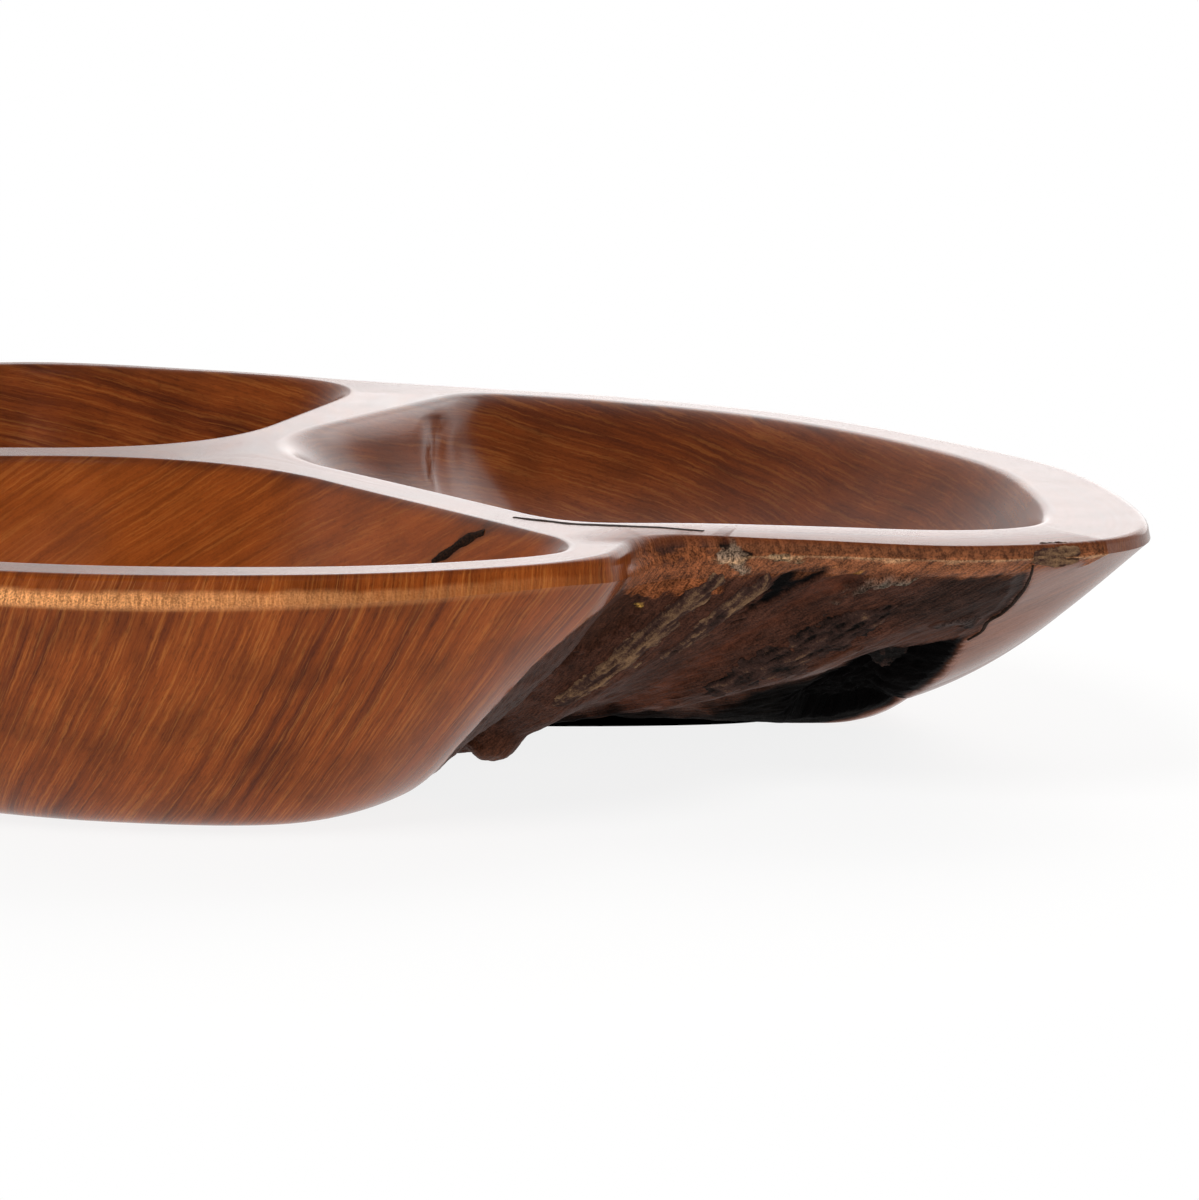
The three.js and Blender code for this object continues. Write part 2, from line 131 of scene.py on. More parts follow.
# What shows on the live edge, each over the one before: colour, roughness from 0 to 1, lift in mm, then a
# path of places on the flank as direction, rise and half width in mm.
LIVE_LANES = {
    "dark cleft": (
        "#382016", 0.4, -1.2,
        ((-51, 0.93, 3), (-51, 0.86, 6), (-53, 0.76, 9), (-56, 0.66, 11), (-58, 0.5, 12), (-58, 0.2, 12)),
    ),
    "red groove": (
        "#4a2719", 0.2, -0.8,
        ((-40.9, 0.945, 2.2), (-41.2, 0.9, 3.8), (-41.2, 0.82, 4.6), (-41.4, 0.75, 5),
         (-41.2, 0.645, 5.5), (-40.6, 0.525, 6), (-38.6, 0.39, 7), (-35.8, 0.27, 7)),
    ),
    "black band": (
        "#060404", 0.6, -0.8,
        ((-42.2, 0.97, 2), (-42.6, 0.93, 3.2), (-42.6, 0.86, 3.2), (-42.8, 0.78, 3), (-43, 0.64, 2.2),
         (-42.4, 0.52, 1.5)),
    ),
    "brown fold": (
        "#452618", 0.25, 0.6,
        ((-35.6, 0.715, 2), (-34.6, 0.64, 3.5), (-31, 0.53, 4.5), (-29.8, 0.46, 5), (-28, 0.4, 5)),
    ),
    "grey ridge": (
        "#5a4a40", 1.0, 1.4,
        ((-39.2, 0.948, 1.4), (-40.1, 0.93, 2.2), (-40.1, 0.85, 2.8), (-40, 0.776, 3), (-40, 0.69, 3),
         (-39.6, 0.59, 2)),
    ),
    "lichen": ("#5f564b", 1.0, 0.3, ((-38.7, 0.948, 0.7), (-39.6, 0.94, 1.1), (-40.5, 0.928, 0.8))),
    "dry scale": ("#3b312e", 0.7, 1.0, ((-33.6, 0.8, 1.5), (-32.2, 0.81, 2.2), (-31, 0.795, 1.6))),
    "shoulder": (
        "#7b4629", 0.6, 0.8,
        ((-54.5, 1.01, 4), (-52, 0.985, 6.5), (-49.8, 0.955, 7.5), (-47.6, 0.975, 7)),
    ),
    "yellow rot": ("#c8994c", 0.8, 0.4, ((-49.9, 0.885, 0.8), (-49.5, 0.878, 1.5), (-49.3, 0.87, 0.8))),
    "seam top": ("#100a07", 0.7, -0.5, ((-35.6, 1.14, 0.5), (-35.3, 1.04, 0.6), (-34.9, 0.97, 0.7))),
    "third rot": ("#a8743a", 0.8, 0.3, ((-41.8, 0.976, 0.9), (-41.3, 0.968, 1.8), (-40.9, 0.962, 0.9))),
    "second rot": ("#b98a48", 0.8, 0.3, ((-47.2, 0.92, 0.7), (-47, 0.914, 1.3), (-46.8, 0.908, 0.7))),
}
# The same, over the torn wood under the rim.
LUMPS = {
    "end of the crack": ("#1c110c", 0.7, -0.6, ((-46.6, 1.15, 0.6), (-45.9, 1.09, 0.7), (-45.4, 1.02, 0.6))),
    "pale lump": ("#75604f", 1.0, 1.2, ((-46.7, 1.02, 1.4), (-46.1, 1.0, 2.4), (-45.3, 0.975, 2))),
    "small lump": ("#6d5842", 1.0, 0.8, ((-44.5, 1.005, 0.9), (-43.9, 0.995, 1.5), (-43.2, 0.99, 0.9))),
}
# Broader layers of the live edge: colour, roughness and lift.
LIVE_GROUND, GROUND_ROUGHNESS = "#3e241a", 0.4
DARK_SHEEN = ("#2c1c16", 0.55, 0)
# Near-black laid low on the live edge, and over and below the pocket.
NEAR_BLACK = ("#070504", 0.9, 0)
TORN_WOOD = ("#7a482c", 0.5, 0)
TORN_DARK = ("#653a22", 0.4, 0)
# A pale painted highlight along the torn wood's crease.
TORN_CREASE_HIGHLIGHT = ("#a8825f", 0.6, 0.2)
POCKET_BLACK = ("#030202", 1, 0)
NUB_BROWN = ("#4a2a1c", 0.3, 4)
# The tan lip: part worn sapwood, part painted highlight.
WORN_LIP_AND_HIGHLIGHT = "#e09c62"
# A painted grey reflection haze on the wood right of the seam.
PAINTED_FLANK_HAZE = "#745f58"
RIM_TONE = "#44251a"
STREAK_STAIN = "#331c10"
RIM_SHARE = 0.45  # how much of the rim's tone shows over the lines of the wood
# Where those layers lie. A pair is where one fades in, from nothing to full, as directions or as rises.
LIVE_SPAN = (-70, -8)  # all of them lie between these directions
RAW_TOP = 0.95  # above this rise the torn wood has some lacquer on it
SHEEN = SimpleNamespace(directions=(-38.6, -37.2), rises=(0.79, 0.84))
TORN = SimpleNamespace(directions=(-47.6, -46.2), rises=(0.945, 0.97), dark_rises=(1.02, 1.06))
BLACK_FOOT = SimpleNamespace(directions=(-46, -36), rises=(0.44, 0.26))
CHIP_BED = SimpleNamespace(directions=(-31.4, -31.9), rises=(0.965, 0.98))
NUB = SimpleNamespace(direction=-49, rise=0.26, reach=11)
SEAM_STEP = 0.8  # mm that the raw wood lies lower beside the seam
# The tan lip along the front lobe's crease, part worn sapwood and part painted highlight, and a painted grey
# reflection haze right of the seam.
WORN_LIT_LIP = SimpleNamespace(direction=-120, spread=70, share=0.9, roughness=0.6, low=(0.985, 1), top=(1.1, 1.055))
FLANK_HAZE_SPREAD = SimpleNamespace(share=0.6, fade_in=(-36, -33), fade_out=(15, -20))
# The lines of the flank lean by a share of their fall, more at the left end, and bend over lower down.
GRAIN = SimpleNamespace(lean=0.25, left_more=0.12, left=(10, -60), bend=270, stretch=1.4)
# Where the live edge ends at the front lobe and at the seam beside the right lobe: directions at each rise.
LEFT_RISES = (0, 0.5, 0.6, 0.676, 0.776, 0.848, 0.912, 0.95, 1.09, 1.15)
LEFT_DIRECTIONS = (-67, -66.2, -64.6, -63.6, -62, -60.2, -58.4, -56.4, -54.4, -54)
SEAM_RISES = (0, 0.3, 0.45, 0.55, 0.62, 0.7, 0.74, 0.766, 0.788, 0.812, 0.836, 0.876, 0.936, 0.984, 1.156)
SEAM_DIRECTIONS = (-9, -9, -12, -17, -22, -25, -27.5, -29, -29.2, -30.4, -30.6, -31.8, -33.6, -35, -35.4)
# How wide those two edges are blurred, in degrees, from one rise to another.
LEFT_BLUR = ((0.9, 0.96), (0.2, 1.2))
SEAM_BLUR = ((0.75, 0.82), (0.6, 0.14))
# The dark pocket: the rises of its lower and upper edge at each direction.
POCKET_DIRECTIONS = (-33.6, -32.8, -31.6, -30.4, -29, -27, -25, -23, -20, -16, -12)
POCKET_LOWS = (0.695, 0.685, 0.632, 0.572, 0.54, 0.5, 0.47, 0.45, 0.4, 0.36, 0.34)
POCKET_TOPS = (0.7, 0.705, 0.71, 0.74, 0.772, 0.79, 0.76, 0.7, 0.64, 0.58, 0.54)
# How it fades in below its upper edge, above its lower edge, both as rises, and from the left.
POCKET_FADES = {
    "black": ((-0.004, 0.004), (-0.05, -0.02), (-33.9, -33.5)),
    "cut": ((0.002, 0.035), (-0.02, 0.02), (-33.8, -33)),
    "darkened": ((-0.01, 0.01), (-0.2, -0.1), (-33.5, -31)),
}
POCKET_RAGGED = 0.012
POCKET_END = (-10, -13)
POCKET_WALL = (-0.1, -4.5)  # degrees from the seam
FIBRE_NOISE, PATCH_NOISE, CRUMB_NOISE = 2.2, 9.0, 2.5  # mm
FIBRE_PER_DEGREE = 3.0  # mm across the live edge for each degree
FIBRE_PER_RISE = 190  # mm along the live edge for a whole rise
BAND_FIBRE = 0.2  # the same on the band above the crease, as a share


def linear(colour):
    """An sRGB hex colour as linear red, green, blue and alpha."""
    parts = [int(colour[i : i + 2], 16) / 255 for i in (1, 3, 5)]
    return tuple(p / 12.92 if p <= 0.04045 else ((p + 0.055) / 1.055) ** 2.4 for p in parts) + (1.0,)


def tone_of(colour, share):
    """An sRGB hex colour as linear red, green and blue, with how much of it shows."""
    return np.array(linear(colour)[:3] + (share,))


def millimetres(group):
    """The lengths of a property group in mm."""
    return SimpleNamespace(**{key: getattr(group, key) / MM for key in group.__annotations__})


def smoothstep(low, high, value):
    share = np.clip((value - low) / (high - low), 0, 1)
    return share * share * (3 - 2 * share)


def between(start, end, share):
    return start + (end - start) * share


def at_height(level, height):
    """Points of a level, raised to a height."""
    return np.column_stack((level, np.broadcast_to(height, len(level))))


def swell(spread, direction):
    """1 in the middle of a spread of directions, easing to 0 at its ends."""
    away = ((direction - spread.direction + 180) % 360 - 180) / spread.spread
    return np.where(np.abs(away) < 1, np.cos(np.pi / 2 * away) ** 2, 0)


def curve_between(a, b, c, d, t):
    """A Catmull-Rom curve from b to c, whose neighbours are a and d."""
    return b + 0.5 * ((c - a) * t + (2 * a - 5 * b + 4 * c - d) * t**2 + (3 * b - a - 3 * c + d) * t**3)


def closed_curve(reaches, place):
    """A closed Catmull-Rom curve through a reach at each station. A place counts stations."""
    turn = np.radians(STATIONS[:, 0])
    points = np.stack((reaches * np.cos(turn), reaches * np.sin(turn)), axis=1)
    place = np.asarray(place, float) % COUNT
    last = np.floor(place).astype(int)
    near = (points[(last + k) % COUNT] for k in (-1, 0, 1, 2))
    return curve_between(*near, (place - last)[..., None])


def place_of(direction):
    return np.interp((np.asarray(direction, float) - TURNS[0]) % 360 + TURNS[0], TURNS, np.arange(COUNT + 1))


def direction_of(place):
    return np.interp(np.asarray(place) % COUNT, np.arange(COUNT + 1), TURNS)


def drawn_out(points, by):
    """Points moved away from the meeting point."""
    reach = np.linalg.norm(points, axis=-1)
    return points * (1 + by / reach)[..., None]


def round_at(direction, sizes):
    notch, tip = (part.more * swell(part, direction) for part in (NOTCH_ROUND, TIP_ROUND))
    return sizes.rim_round + notch + tip


def plain_flank(direction, rise, sizes):
    """The flank without grooves. A rise of 0 is the base's edge, 1 the crease, BAND_TOP the rim's edge."""
    direction, rise = np.broadcast_arrays(np.asarray(direction, float), np.asarray(rise, float))
    place = place_of(direction)
    front = swell(FRONT_CREASE, direction)
    edge_height = sizes.height - round_at(direction, sizes)
    rim = closed_curve(STATIONS[:, 1], place)
    base = closed_curve(STATIONS[:, 2], place)
    crease = drawn_out(rim, CREASE_OUT + FRONT_CREASE.out * front)
    crease_height = edge_height - CREASE_BELOW - FRONT_CREASE.below * front
    lower = np.clip(rise, 0, 1)
    upper = np.clip((rise - 1) / (BAND_TOP - 1), 0, None)[..., None]
    level = np.where(upper > 0, between(crease, rim, upper), between(base, crease, lower[..., None]))
    lowest = LIFT.up * swell(LIFT, direction)
    curve = HULL_CURVE + BELLY.more * swell(BELLY, direction)
    height = between(lowest, crease_height, lower**curve) + (edge_height - crease_height) * upper[..., 0]
    return np.concatenate((level, height[..., None]), axis=-1)


def steps_along(surface, a, b, step_a, step_b):
    """How a surface runs per unit of each of its two places, and its normal."""
    along_a = (surface(a + step_a, b) - surface(a - step_a, b)) / (2 * step_a)
    along_b = (surface(a, b + step_b) - surface(a, b - step_b)) / (2 * step_b)
    normal = np.cross(along_a, along_b)
    return along_a, along_b, normal / np.linalg.norm(normal, axis=-1, keepdims=True)


def flank(direction, rise, sizes):
    """The flank with the broad grooves of its live edge."""
    direction, rise = np.broadcast_arrays(np.asarray(direction, float), np.asarray(rise, float))
    sideways = smoothstep(FLUTES.start, FLUTES.start + FLUTES.fade, direction)
    sideways = sideways * smoothstep(FLUTES.end, FLUTES.end - FLUTES.fade, direction)
    upwards = smoothstep(0, 0.2, rise) * smoothstep(1, 0.8, rise)
    wave = 0.5 + 0.5 * np.cos(2 * np.pi * (direction - FLUTES.first) / FLUTES.pitch)
    depth = sizes.groove_depth * sideways * upwards * wave
    normal = steps_along(lambda a, b: plain_flank(a, b, sizes), direction, rise, *FLANK_STEPS)[2]
    return plain_flank(direction, rise, sizes) - normal * depth[..., None]


RIM_EDGE = closed_curve(STATIONS[:, 1], np.arange(0, COUNT, 0.1))


def inside_rim(points):
    """Distance in from the rim's edge, softened where two stretches of it are equally near, 0 outside."""
    ends = np.roll(RIM_EDGE, -1, axis=0)
    step = ends - RIM_EDGE
    away = np.linalg.norm(points[:, None] - (RIM_EDGE + ends) / 2, axis=2)
    distance = (0.75 * (np.linalg.norm(step, axis=1) / away**5).sum(axis=1)) ** -0.25
    x, y = points[:, :1], points[:, 1:]
    spans = (RIM_EDGE[:, 1] > y) != (ends[:, 1] > y)
    crossing = RIM_EDGE[:, 0] + step[:, 0] * (y - RIM_EDGE[:, 1]) / step[:, 1]
    inside = (spans & (x < crossing)).sum(axis=1) % 2 == 1
    return np.where(inside, distance, 0)


def smooth_max(a, b, blend):
    near = np.clip(blend - np.abs(a - b), 0, None) / blend
    return np.maximum(a, b) + near * near * blend / 4


def outside_mouth(hollow, points):
    """How far points lie outside a hollow's mouth, negative inside it."""
    sides = []
    for key, sign in ((hollow.after, 1), (hollow.before, -1)):
        direction, aside, half, flare = DIVIDERS[key]
        cosine, sine = math.cos(math.radians(direction)), math.sin(math.radians(direction))
        side = sign * (cosine * points[:, 1] - sine * points[:, 0] - aside)
        along = cosine * points[:, 0] + sine * points[:, 1]
        sides.append(half + math.tan(math.radians(flare)) * along - side)
    width = hollow.rim + WIDE_END.more * swell(WIDE_END, np.degrees(np.arctan2(points[:, 1], points[:, 0])))
    corner = np.where(sides[0] > sides[1], *hollow.corners)
    return smooth_max(smooth_max(*sides, DIVIDER_BLEND), width - inside_rim(points), corner)


def middle_of(hollow):
    """The roomiest point halfway between a hollow's two dividers, and its room."""
    start = DIVIDERS[hollow.after][0]
    turn = math.radians(start + (DIVIDERS[hollow.before][0] - start) % 360 / 2)
    points = np.arange(20, 200, 0.1)[:, None] * (math.cos(turn), math.sin(turn))
    outside = outside_mouth(hollow, points)
    return points[outside.argmin()], -outside.min()


def outline(hollow, turns, insets):
    """Points of a hollow's outline, drawn in by each inset, in each direction in degrees from its middle."""
    turns, insets = np.broadcast_arrays(turns, insets)
    ways = np.stack((np.cos(np.radians(turns)), np.sin(np.radians(turns))), axis=-1)
    near, far = np.zeros(turns.shape), np.full(turns.shape, FARTHEST)
    for _ in range(20):
        reach = (near + far) / 2
        points = hollow.middle + ways * reach[..., None]
        is_out = outside_mouth(hollow, points.reshape(-1, 2)).reshape(turns.shape) + insets > 0
        near, far = np.where(is_out, near, reach), np.where(is_out, reach, far)
    return hollow.middle + ways * near[..., None]


def lip_of(hollow, turns, sizes):
    return sizes.lip + hollow.soft.more * swell(hollow.soft, turns)


def hollow_wall(hollow, turns, insets, sizes):
    """The wall of a hollow at each inset from its mouth, easing into the flat rim outside it."""
    level = outline(hollow, turns, insets)
    fall = hollow.depth * (1 - (1 - np.clip(insets / hollow.reach, 0, 1)) ** hollow.curve)
    fall = fall + hollow.steepness * np.minimum(insets, 0)
    dent = hollow.dent.depth * swell(hollow.dent, turns - hollow.dent.lean * insets)
    dent = dent * smoothstep(*DENT_TOP, insets) * smoothstep(*DENT_FOOT, insets)
    height = sizes.height - smooth_max(0, fall, lip_of(hollow, turns, sizes)) - dent
    return np.concatenate((level, np.broadcast_to(height, level.shape[:-1])[..., None]), axis=-1)


for _hollow in HOLLOWS.values():
    _hollow.middle, _room = middle_of(_hollow)
    _hollow.reach = min(_hollow.run, _room * ROOM_USED)
    _hollow.steepness = _hollow.depth * _hollow.curve / _hollow.reach


def fractal(points, size, octaves=4):
    """Fractal noise about 0 at each point, with features of a size in mm."""
    return np.array([noise.fractal(Vector(point), 1.0, 2.0, octaves) for point in points / size])


def along_path(stops, count):
    """A smooth path through stops, as that many evenly spread samples."""
    stops = np.array(stops, float)
    padded = np.vstack((2 * stops[0] - stops[1], stops, 2 * stops[-1] - stops[-2]))
    at = np.linspace(0, len(stops) - 1, count)
    last = np.minimum(at.astype(int), len(stops) - 2)
    near = (padded[last + k] for k in range(4))
    return curve_between(*near, (at - last)[:, None])


def distance_to_path(points, path, sizes):
    """How far points lie from a path on the flank, in half widths of the path."""
    samples = along_path(path, 60)
    centres = plain_flank(samples[:, 0], samples[:, 1], sizes)
    away = np.linalg.norm(points[:, None] - centres, axis=2)
    nearest = away.argmin(axis=1)
    return away[np.arange(len(points)), nearest] / samples[nearest, 2]


def seam_at(rise):
    """The direction of the seam beside the right lobe."""
    return np.interp(rise, SEAM_RISES, SEAM_DIRECTIONS)


def area(part, direction, rise):
    """1 in a broad area of the live edge, fading to 0 round it."""
    return smoothstep(*part.rises, rise) * smoothstep(*part.directions, direction)


def pocket_masks(direction, rise, patches):
    """Where the dark pocket is black, where it is cut into the wood, and where it and the wood just below it
    are darkened.
    """
    ragged = POCKET_RAGGED * patches
    below_top = np.interp(direction, POCKET_DIRECTIONS, POCKET_TOPS) + ragged - rise
    above_low = rise - np.interp(direction, POCKET_DIRECTIONS, POCKET_LOWS) - ragged
    black, cut, darkened = (
        smoothstep(*top, below_top) * smoothstep(*low, above_low) * smoothstep(*left, direction)
        for top, low, left in POCKET_FADES.values()
    )
    cut = cut * smoothstep(*POCKET_END, direction) * smoothstep(*POCKET_WALL, direction - seam_at(rise))
    return black, cut, darkened


def live_cover(direction, rise, fibres):
    """1 on the live edge, 0 on the smooth wood at both ends of it."""
    start = np.interp(rise, LEFT_RISES, LEFT_DIRECTIONS)
    left = smoothstep(-1, 1, (direction - start + 0.3 * fibres) / np.interp(rise, *LEFT_BLUR))
    right = smoothstep(1, -1, (direction - seam_at(rise) - 0.08 * fibres) / np.interp(rise, *SEAM_BLUR))
    return left * np.maximum(right, area(CHIP_BED, direction, rise + 0.01 * fibres))


def live_edge(direction, rise, points, sizes):
    """Colour with coverage, roughness and lift in mm of the raw wood between the front and right lobes."""
    fibres = fractal(np.stack((direction * FIBRE_PER_DEGREE, rise * 30, rise * 0), axis=1), FIBRE_NOISE, 3)
    patches = fractal(points, PATCH_NOISE, 4)
    crumbs = fractal(points, CRUMB_NOISE, 3)
    ragged = 0.4 * fibres + 0.4 * crumbs
    colours = np.tile(linear(LIVE_GROUND)[:3], (len(points), 1))
    rough = np.full(len(points), GROUND_ROUGHNESS)
    lift = 0.4 * patches

    def lay(colour, roughness, height, mask):
        nonlocal colours, rough, lift
        colours = between(colours, np.array(linear(colour)[:3]), mask[:, None])
        rough = between(rough, roughness, mask)
        lift = lift + height * mask

    def lay_lanes(lanes):
        for colour, roughness, height, path in lanes.values():
            away = distance_to_path(points, path, sizes) + 1.4 * roughness * ragged
            lay(colour, roughness, height, smoothstep(1.15, 0.8, away))

    lay(*DARK_SHEEN, area(SHEEN, direction, rise + 0.03 * patches))
    lay_lanes(LIVE_LANES)
    torn = area(TORN, direction, rise + 0.025 * fibres)
    crease = smoothstep(0.007, 0.001, np.abs(rise - 1.0 + 0.008 * patches))
    lay(*TORN_WOOD, torn)
    lay(*TORN_DARK, torn * smoothstep(*TORN.dark_rises, rise + 0.03 * fibres))
    lay_lanes(LUMPS)
    # A painted highlight along the crease under the rim.
    lay(*TORN_CREASE_HIGHLIGHT, 0.7 * torn * crease)
    black, cut, darkened = pocket_masks(direction, rise, patches)
    # Near-black laid low on the live edge, darker towards the floor, and over the pocket and just below it.
    lay(*NEAR_BLACK, area(BLACK_FOOT, direction, rise + 0.05 * patches))
    lay(*NEAR_BLACK, darkened)
    lay(*POCKET_BLACK, black)
    lift = lift * (1 - cut) + cut * (2.5 * fractal(points, 5.0, 4) - sizes.pocket_depth)
    colours = colours * (1 + 0.3 * np.clip(patches + 1.5 * rough * crumbs, -1.5, 2))[:, None]
    nub = np.linalg.norm(points - plain_flank(NUB.direction, NUB.rise, sizes), axis=1) / NUB.reach
    lay(*NUB_BROWN, smoothstep(1.0, 0.2, nub))
    cover = live_cover(direction, rise, fibres)
    step = cover * smoothstep(-2.5, 0, direction - seam_at(rise)) * smoothstep(1, 0.9, rise)
    lift = lift + 0.6 * rough * fibres - SEAM_STEP * step
    lift = lift * cover * smoothstep(0, 0.12, rise) * smoothstep(BAND_TOP, 1.0, rise)
    return np.column_stack((np.clip(colours, 0, 1), cover)), rough, lift


def paint_smooth_wood(column, row, rings, paint, fibre):
    """Lays the tan lip along the front lobe's crease, part worn sapwood and part painted highlight, and a
    painted grey reflection haze right of the seam.
    """
    ragged = row + 0.02 * fractal(rings.reshape(-1, 3), PATCH_NOISE, 4).reshape(row.shape)
    # The tan lip above the front crease, strongest at the front lobe's left: part worn sapwood, part painted
    # highlight.
    lip = swell(WORN_LIT_LIP, column) * smoothstep(*WORN_LIT_LIP.low, row) * smoothstep(*WORN_LIT_LIP.top, ragged)
    # A painted grey reflection haze on the wood right of the seam.
    grey = smoothstep(*FLANK_HAZE_SPREAD.fade_in, column) * smoothstep(*FLANK_HAZE_SPREAD.fade_out, column)
    for colour, cover in ((WORN_LIP_AND_HIGHLIGHT, WORN_LIT_LIP.share * lip), (PAINTED_FLANK_HAZE, FLANK_HAZE_SPREAD.share * grey)):
        is_bare = cover > paint[..., 3]
        paint[is_bare, :3] = linear(colour)[:3]
        paint[is_bare, 3] = cover[is_bare]
    fibre[..., 2] = np.maximum(fibre[..., 2], WORN_LIT_LIP.roughness * lip)


def rim_rings(edge, direction, sizes):
    """Rings over the rim's rounded edge, and a flat one beside it."""
    round_off = round_at(direction, sizes)
    rings = []
    for bend in np.radians(np.linspace(0, 90, ROUND_ROWS + 1)[1:]):
        level = drawn_out(edge, -round_off * (1 - math.cos(bend)))
        rings.append(at_height(level, sizes.height - round_off * (1 - math.sin(bend))))
    rings.append(at_height(drawn_out(edge, -round_off - RIM_SUPPORT), sizes.height))
    return rings


def flank_grain(rings, edge, sizes):
    """Where points lie across and along the lines of the flank's wood."""
    steps = np.linalg.norm(np.diff(edge, axis=0, append=edge[:1]), axis=1)
    around = np.concatenate(([0], np.cumsum(steps)[:-1]))
    fall = sizes.height - rings[..., 2]
    lean = GRAIN.lean + GRAIN.left_more * smoothstep(*GRAIN.left, rings[..., 0])
    across = around + lean * fall + fall**2 / GRAIN.bend
    return np.stack((across, fall * GRAIN.stretch, np.zeros_like(fall)), axis=-1)


def flank_rings(sizes):
    """Rings of points from the flat foot up over the rim's edge.

    Also the grain, paint and fibre of each point, and whether it is raw.
    """
    place = np.concatenate([station + np.arange(n) / n for station, n in enumerate(COLUMNS)])
    direction = direction_of(place)
    low_rises = np.linspace(0, 1, FLANK_ROWS) ** 0.8
    rises = np.concatenate((low_rises, np.linspace(1, BAND_TOP, BAND_ROWS + 1)[1:]))
    column, row = np.meshgrid(direction, rises)
    rings = flank(column, row, sizes)
    paint = np.zeros(rings.shape[:2] + (4,))
    along = FIBRE_PER_RISE * (np.minimum(row, 1) + BAND_FIBRE * np.maximum(row - 1, 0))
    fibre = np.stack((column * FIBRE_PER_DEGREE, along, np.zeros(row.shape)), axis=-1)
    is_live = (column > LIVE_SPAN[0]) & (column < LIVE_SPAN[1])
    normal = steps_along(lambda a, b: flank(a, b, sizes), column, row, *FLANK_STEPS)[2]
    paint[is_live], rough, lift = live_edge(column[is_live], row[is_live], rings[is_live], sizes)
    fibre[is_live, 2] = rough * paint[is_live, 3]
    rings[is_live] += normal[is_live] * lift[:, None]
    is_raw = (paint[..., 3] > 0.5) & (row < RAW_TOP) & (column < seam_at(row) - 1)
    paint_smooth_wood(column, row, rings, paint, fibre)
    edge = closed_curve(STATIONS[:, 1], place)
    foot = drawn_out(closed_curve(STATIONS[:, 2], place), -FOOT_INSET)
    tops = rim_rings(edge, direction, sizes)
    rings = np.concatenate((at_height(foot, 0)[None], rings, tops))
    over = np.linspace(0.3, 1, len(tops))[:, None, None]
    top_paint = between(paint[-1], tone_of(RIM_TONE, RIM_SHARE), over)
    paint = np.concatenate((np.zeros_like(paint[:1]), paint, top_paint))
    fibre = np.concatenate((fibre[:1], fibre, np.repeat(fibre[-1:], len(tops), axis=0)))
    is_raw = np.pad(is_raw, ((1, len(tops)), (0, 0)))
    return rings, flank_grain(rings, edge, sizes), paint, fibre, is_raw


def hollow_rings(hollow, sizes):
    """Rings of points from the rim over its softened lip down to a hollow's floor, and their grain."""
    fine = np.linspace(0, 360, 721)
    mouth = outline(hollow, fine, np.zeros(1))
    lengths = np.concatenate(([0], np.cumsum(np.linalg.norm(np.diff(mouth, axis=0), axis=1))))
    turns = np.interp(np.arange(SPOKES) * lengths[-1] / SPOKES, lengths, fine)
    reach = lip_of(hollow, turns, sizes) / hollow.steepness
    lip = np.linspace(-1, 1, LIP_ROWS)[:, None] * reach
    shares = np.linspace(0, 1, HOLLOW_ROWS + 1)[1:, None] ** 1.15
    insets = np.concatenate((-reach[None] - RIM_SUPPORT, lip, between(reach, hollow.reach, shares)))
    rings = hollow_wall(hollow, turns, insets, sizes)
    slope = math.radians(hollow.grain)
    across = rings[..., 2] * math.cos(slope) - rings[..., 0] * math.sin(slope)
    along = rings[..., 0] * math.cos(slope) + rings[..., 2] * math.sin(slope)
    return rings, np.stack((across, along, rings[..., 1] * 0.5), axis=-1)


def hollow_paint(hollow, rings, sizes):
    """The tone of a hollow's wood below its lip, and the dark stain beside the streak of bark."""
    points = rings.reshape(-1, 3)
    below_lip = smoothstep(0, 4, sizes.height - points[:, 2])[:, None]
    paint = between(tone_of(RIM_TONE, RIM_SHARE), tone_of(*hollow.tone), below_lip)
    if hollow is HOLLOWS["front"]:
        samples = along_path(FILLS["hollow_bark_streak"][1], 40)
        centres = hollow_wall(hollow, samples[:, 0], samples[:, 1], sizes)
        away = np.linalg.norm(points[:, None] - centres, axis=2).min(axis=1)
        stain = 0.8 * smoothstep(5, 1, away + 2 * fractal(points, 4.0, 3))
        paint = between(paint, tone_of(STREAK_STAIN, 1), stain[:, None])
    return paint


def ring_faces(first, rings, columns, turned=slice(0)):
    """Quads between closed rings of vertices that follow each other from a first vertex on.

    Turned columns start a corner later, so that they are split along their other diagonal.
    """
    row, column = np.meshgrid(np.arange(rings - 1), np.arange(columns), indexing="ij")
    here = first + row * columns + column
    beside = first + row * columns + (column + 1) % columns
    quads = np.stack((here, beside, beside + columns, here + columns), axis=-1)
    quads[:, turned] = np.roll(quads[:, turned], -1, axis=-1)
    return quads.reshape(-1, 4).tolist()


def new_piece(name, points, faces):
    """A selected mesh object from points in mm about the meeting point."""
    bpy.ops.object.select_all(action="DESELECT")
    mesh = bpy.data.meshes.new(name)
    mesh.from_pydata(((np.asarray(points) + MEETING_POINT) * MM).tolist(), [], faces)
    piece = bpy.data.objects.new(name, mesh)
    bpy.context.scene.collection.objects.link(piece)
    bpy.context.view_layer.objects.active = piece
    piece.select_set(True)
    return piece


def give_attribute(piece, name, kind, values):
    """Stores one value per vertex for the piece's material."""
    field = {"FLOAT": "value", "FLOAT_VECTOR": "vector", "FLOAT_COLOR": "color"}[kind]
    layer = piece.data.attributes.new(name, kind, "POINT")
    layer.data.foreach_set(field, np.ascontiguousarray(values, np.float32).ravel())


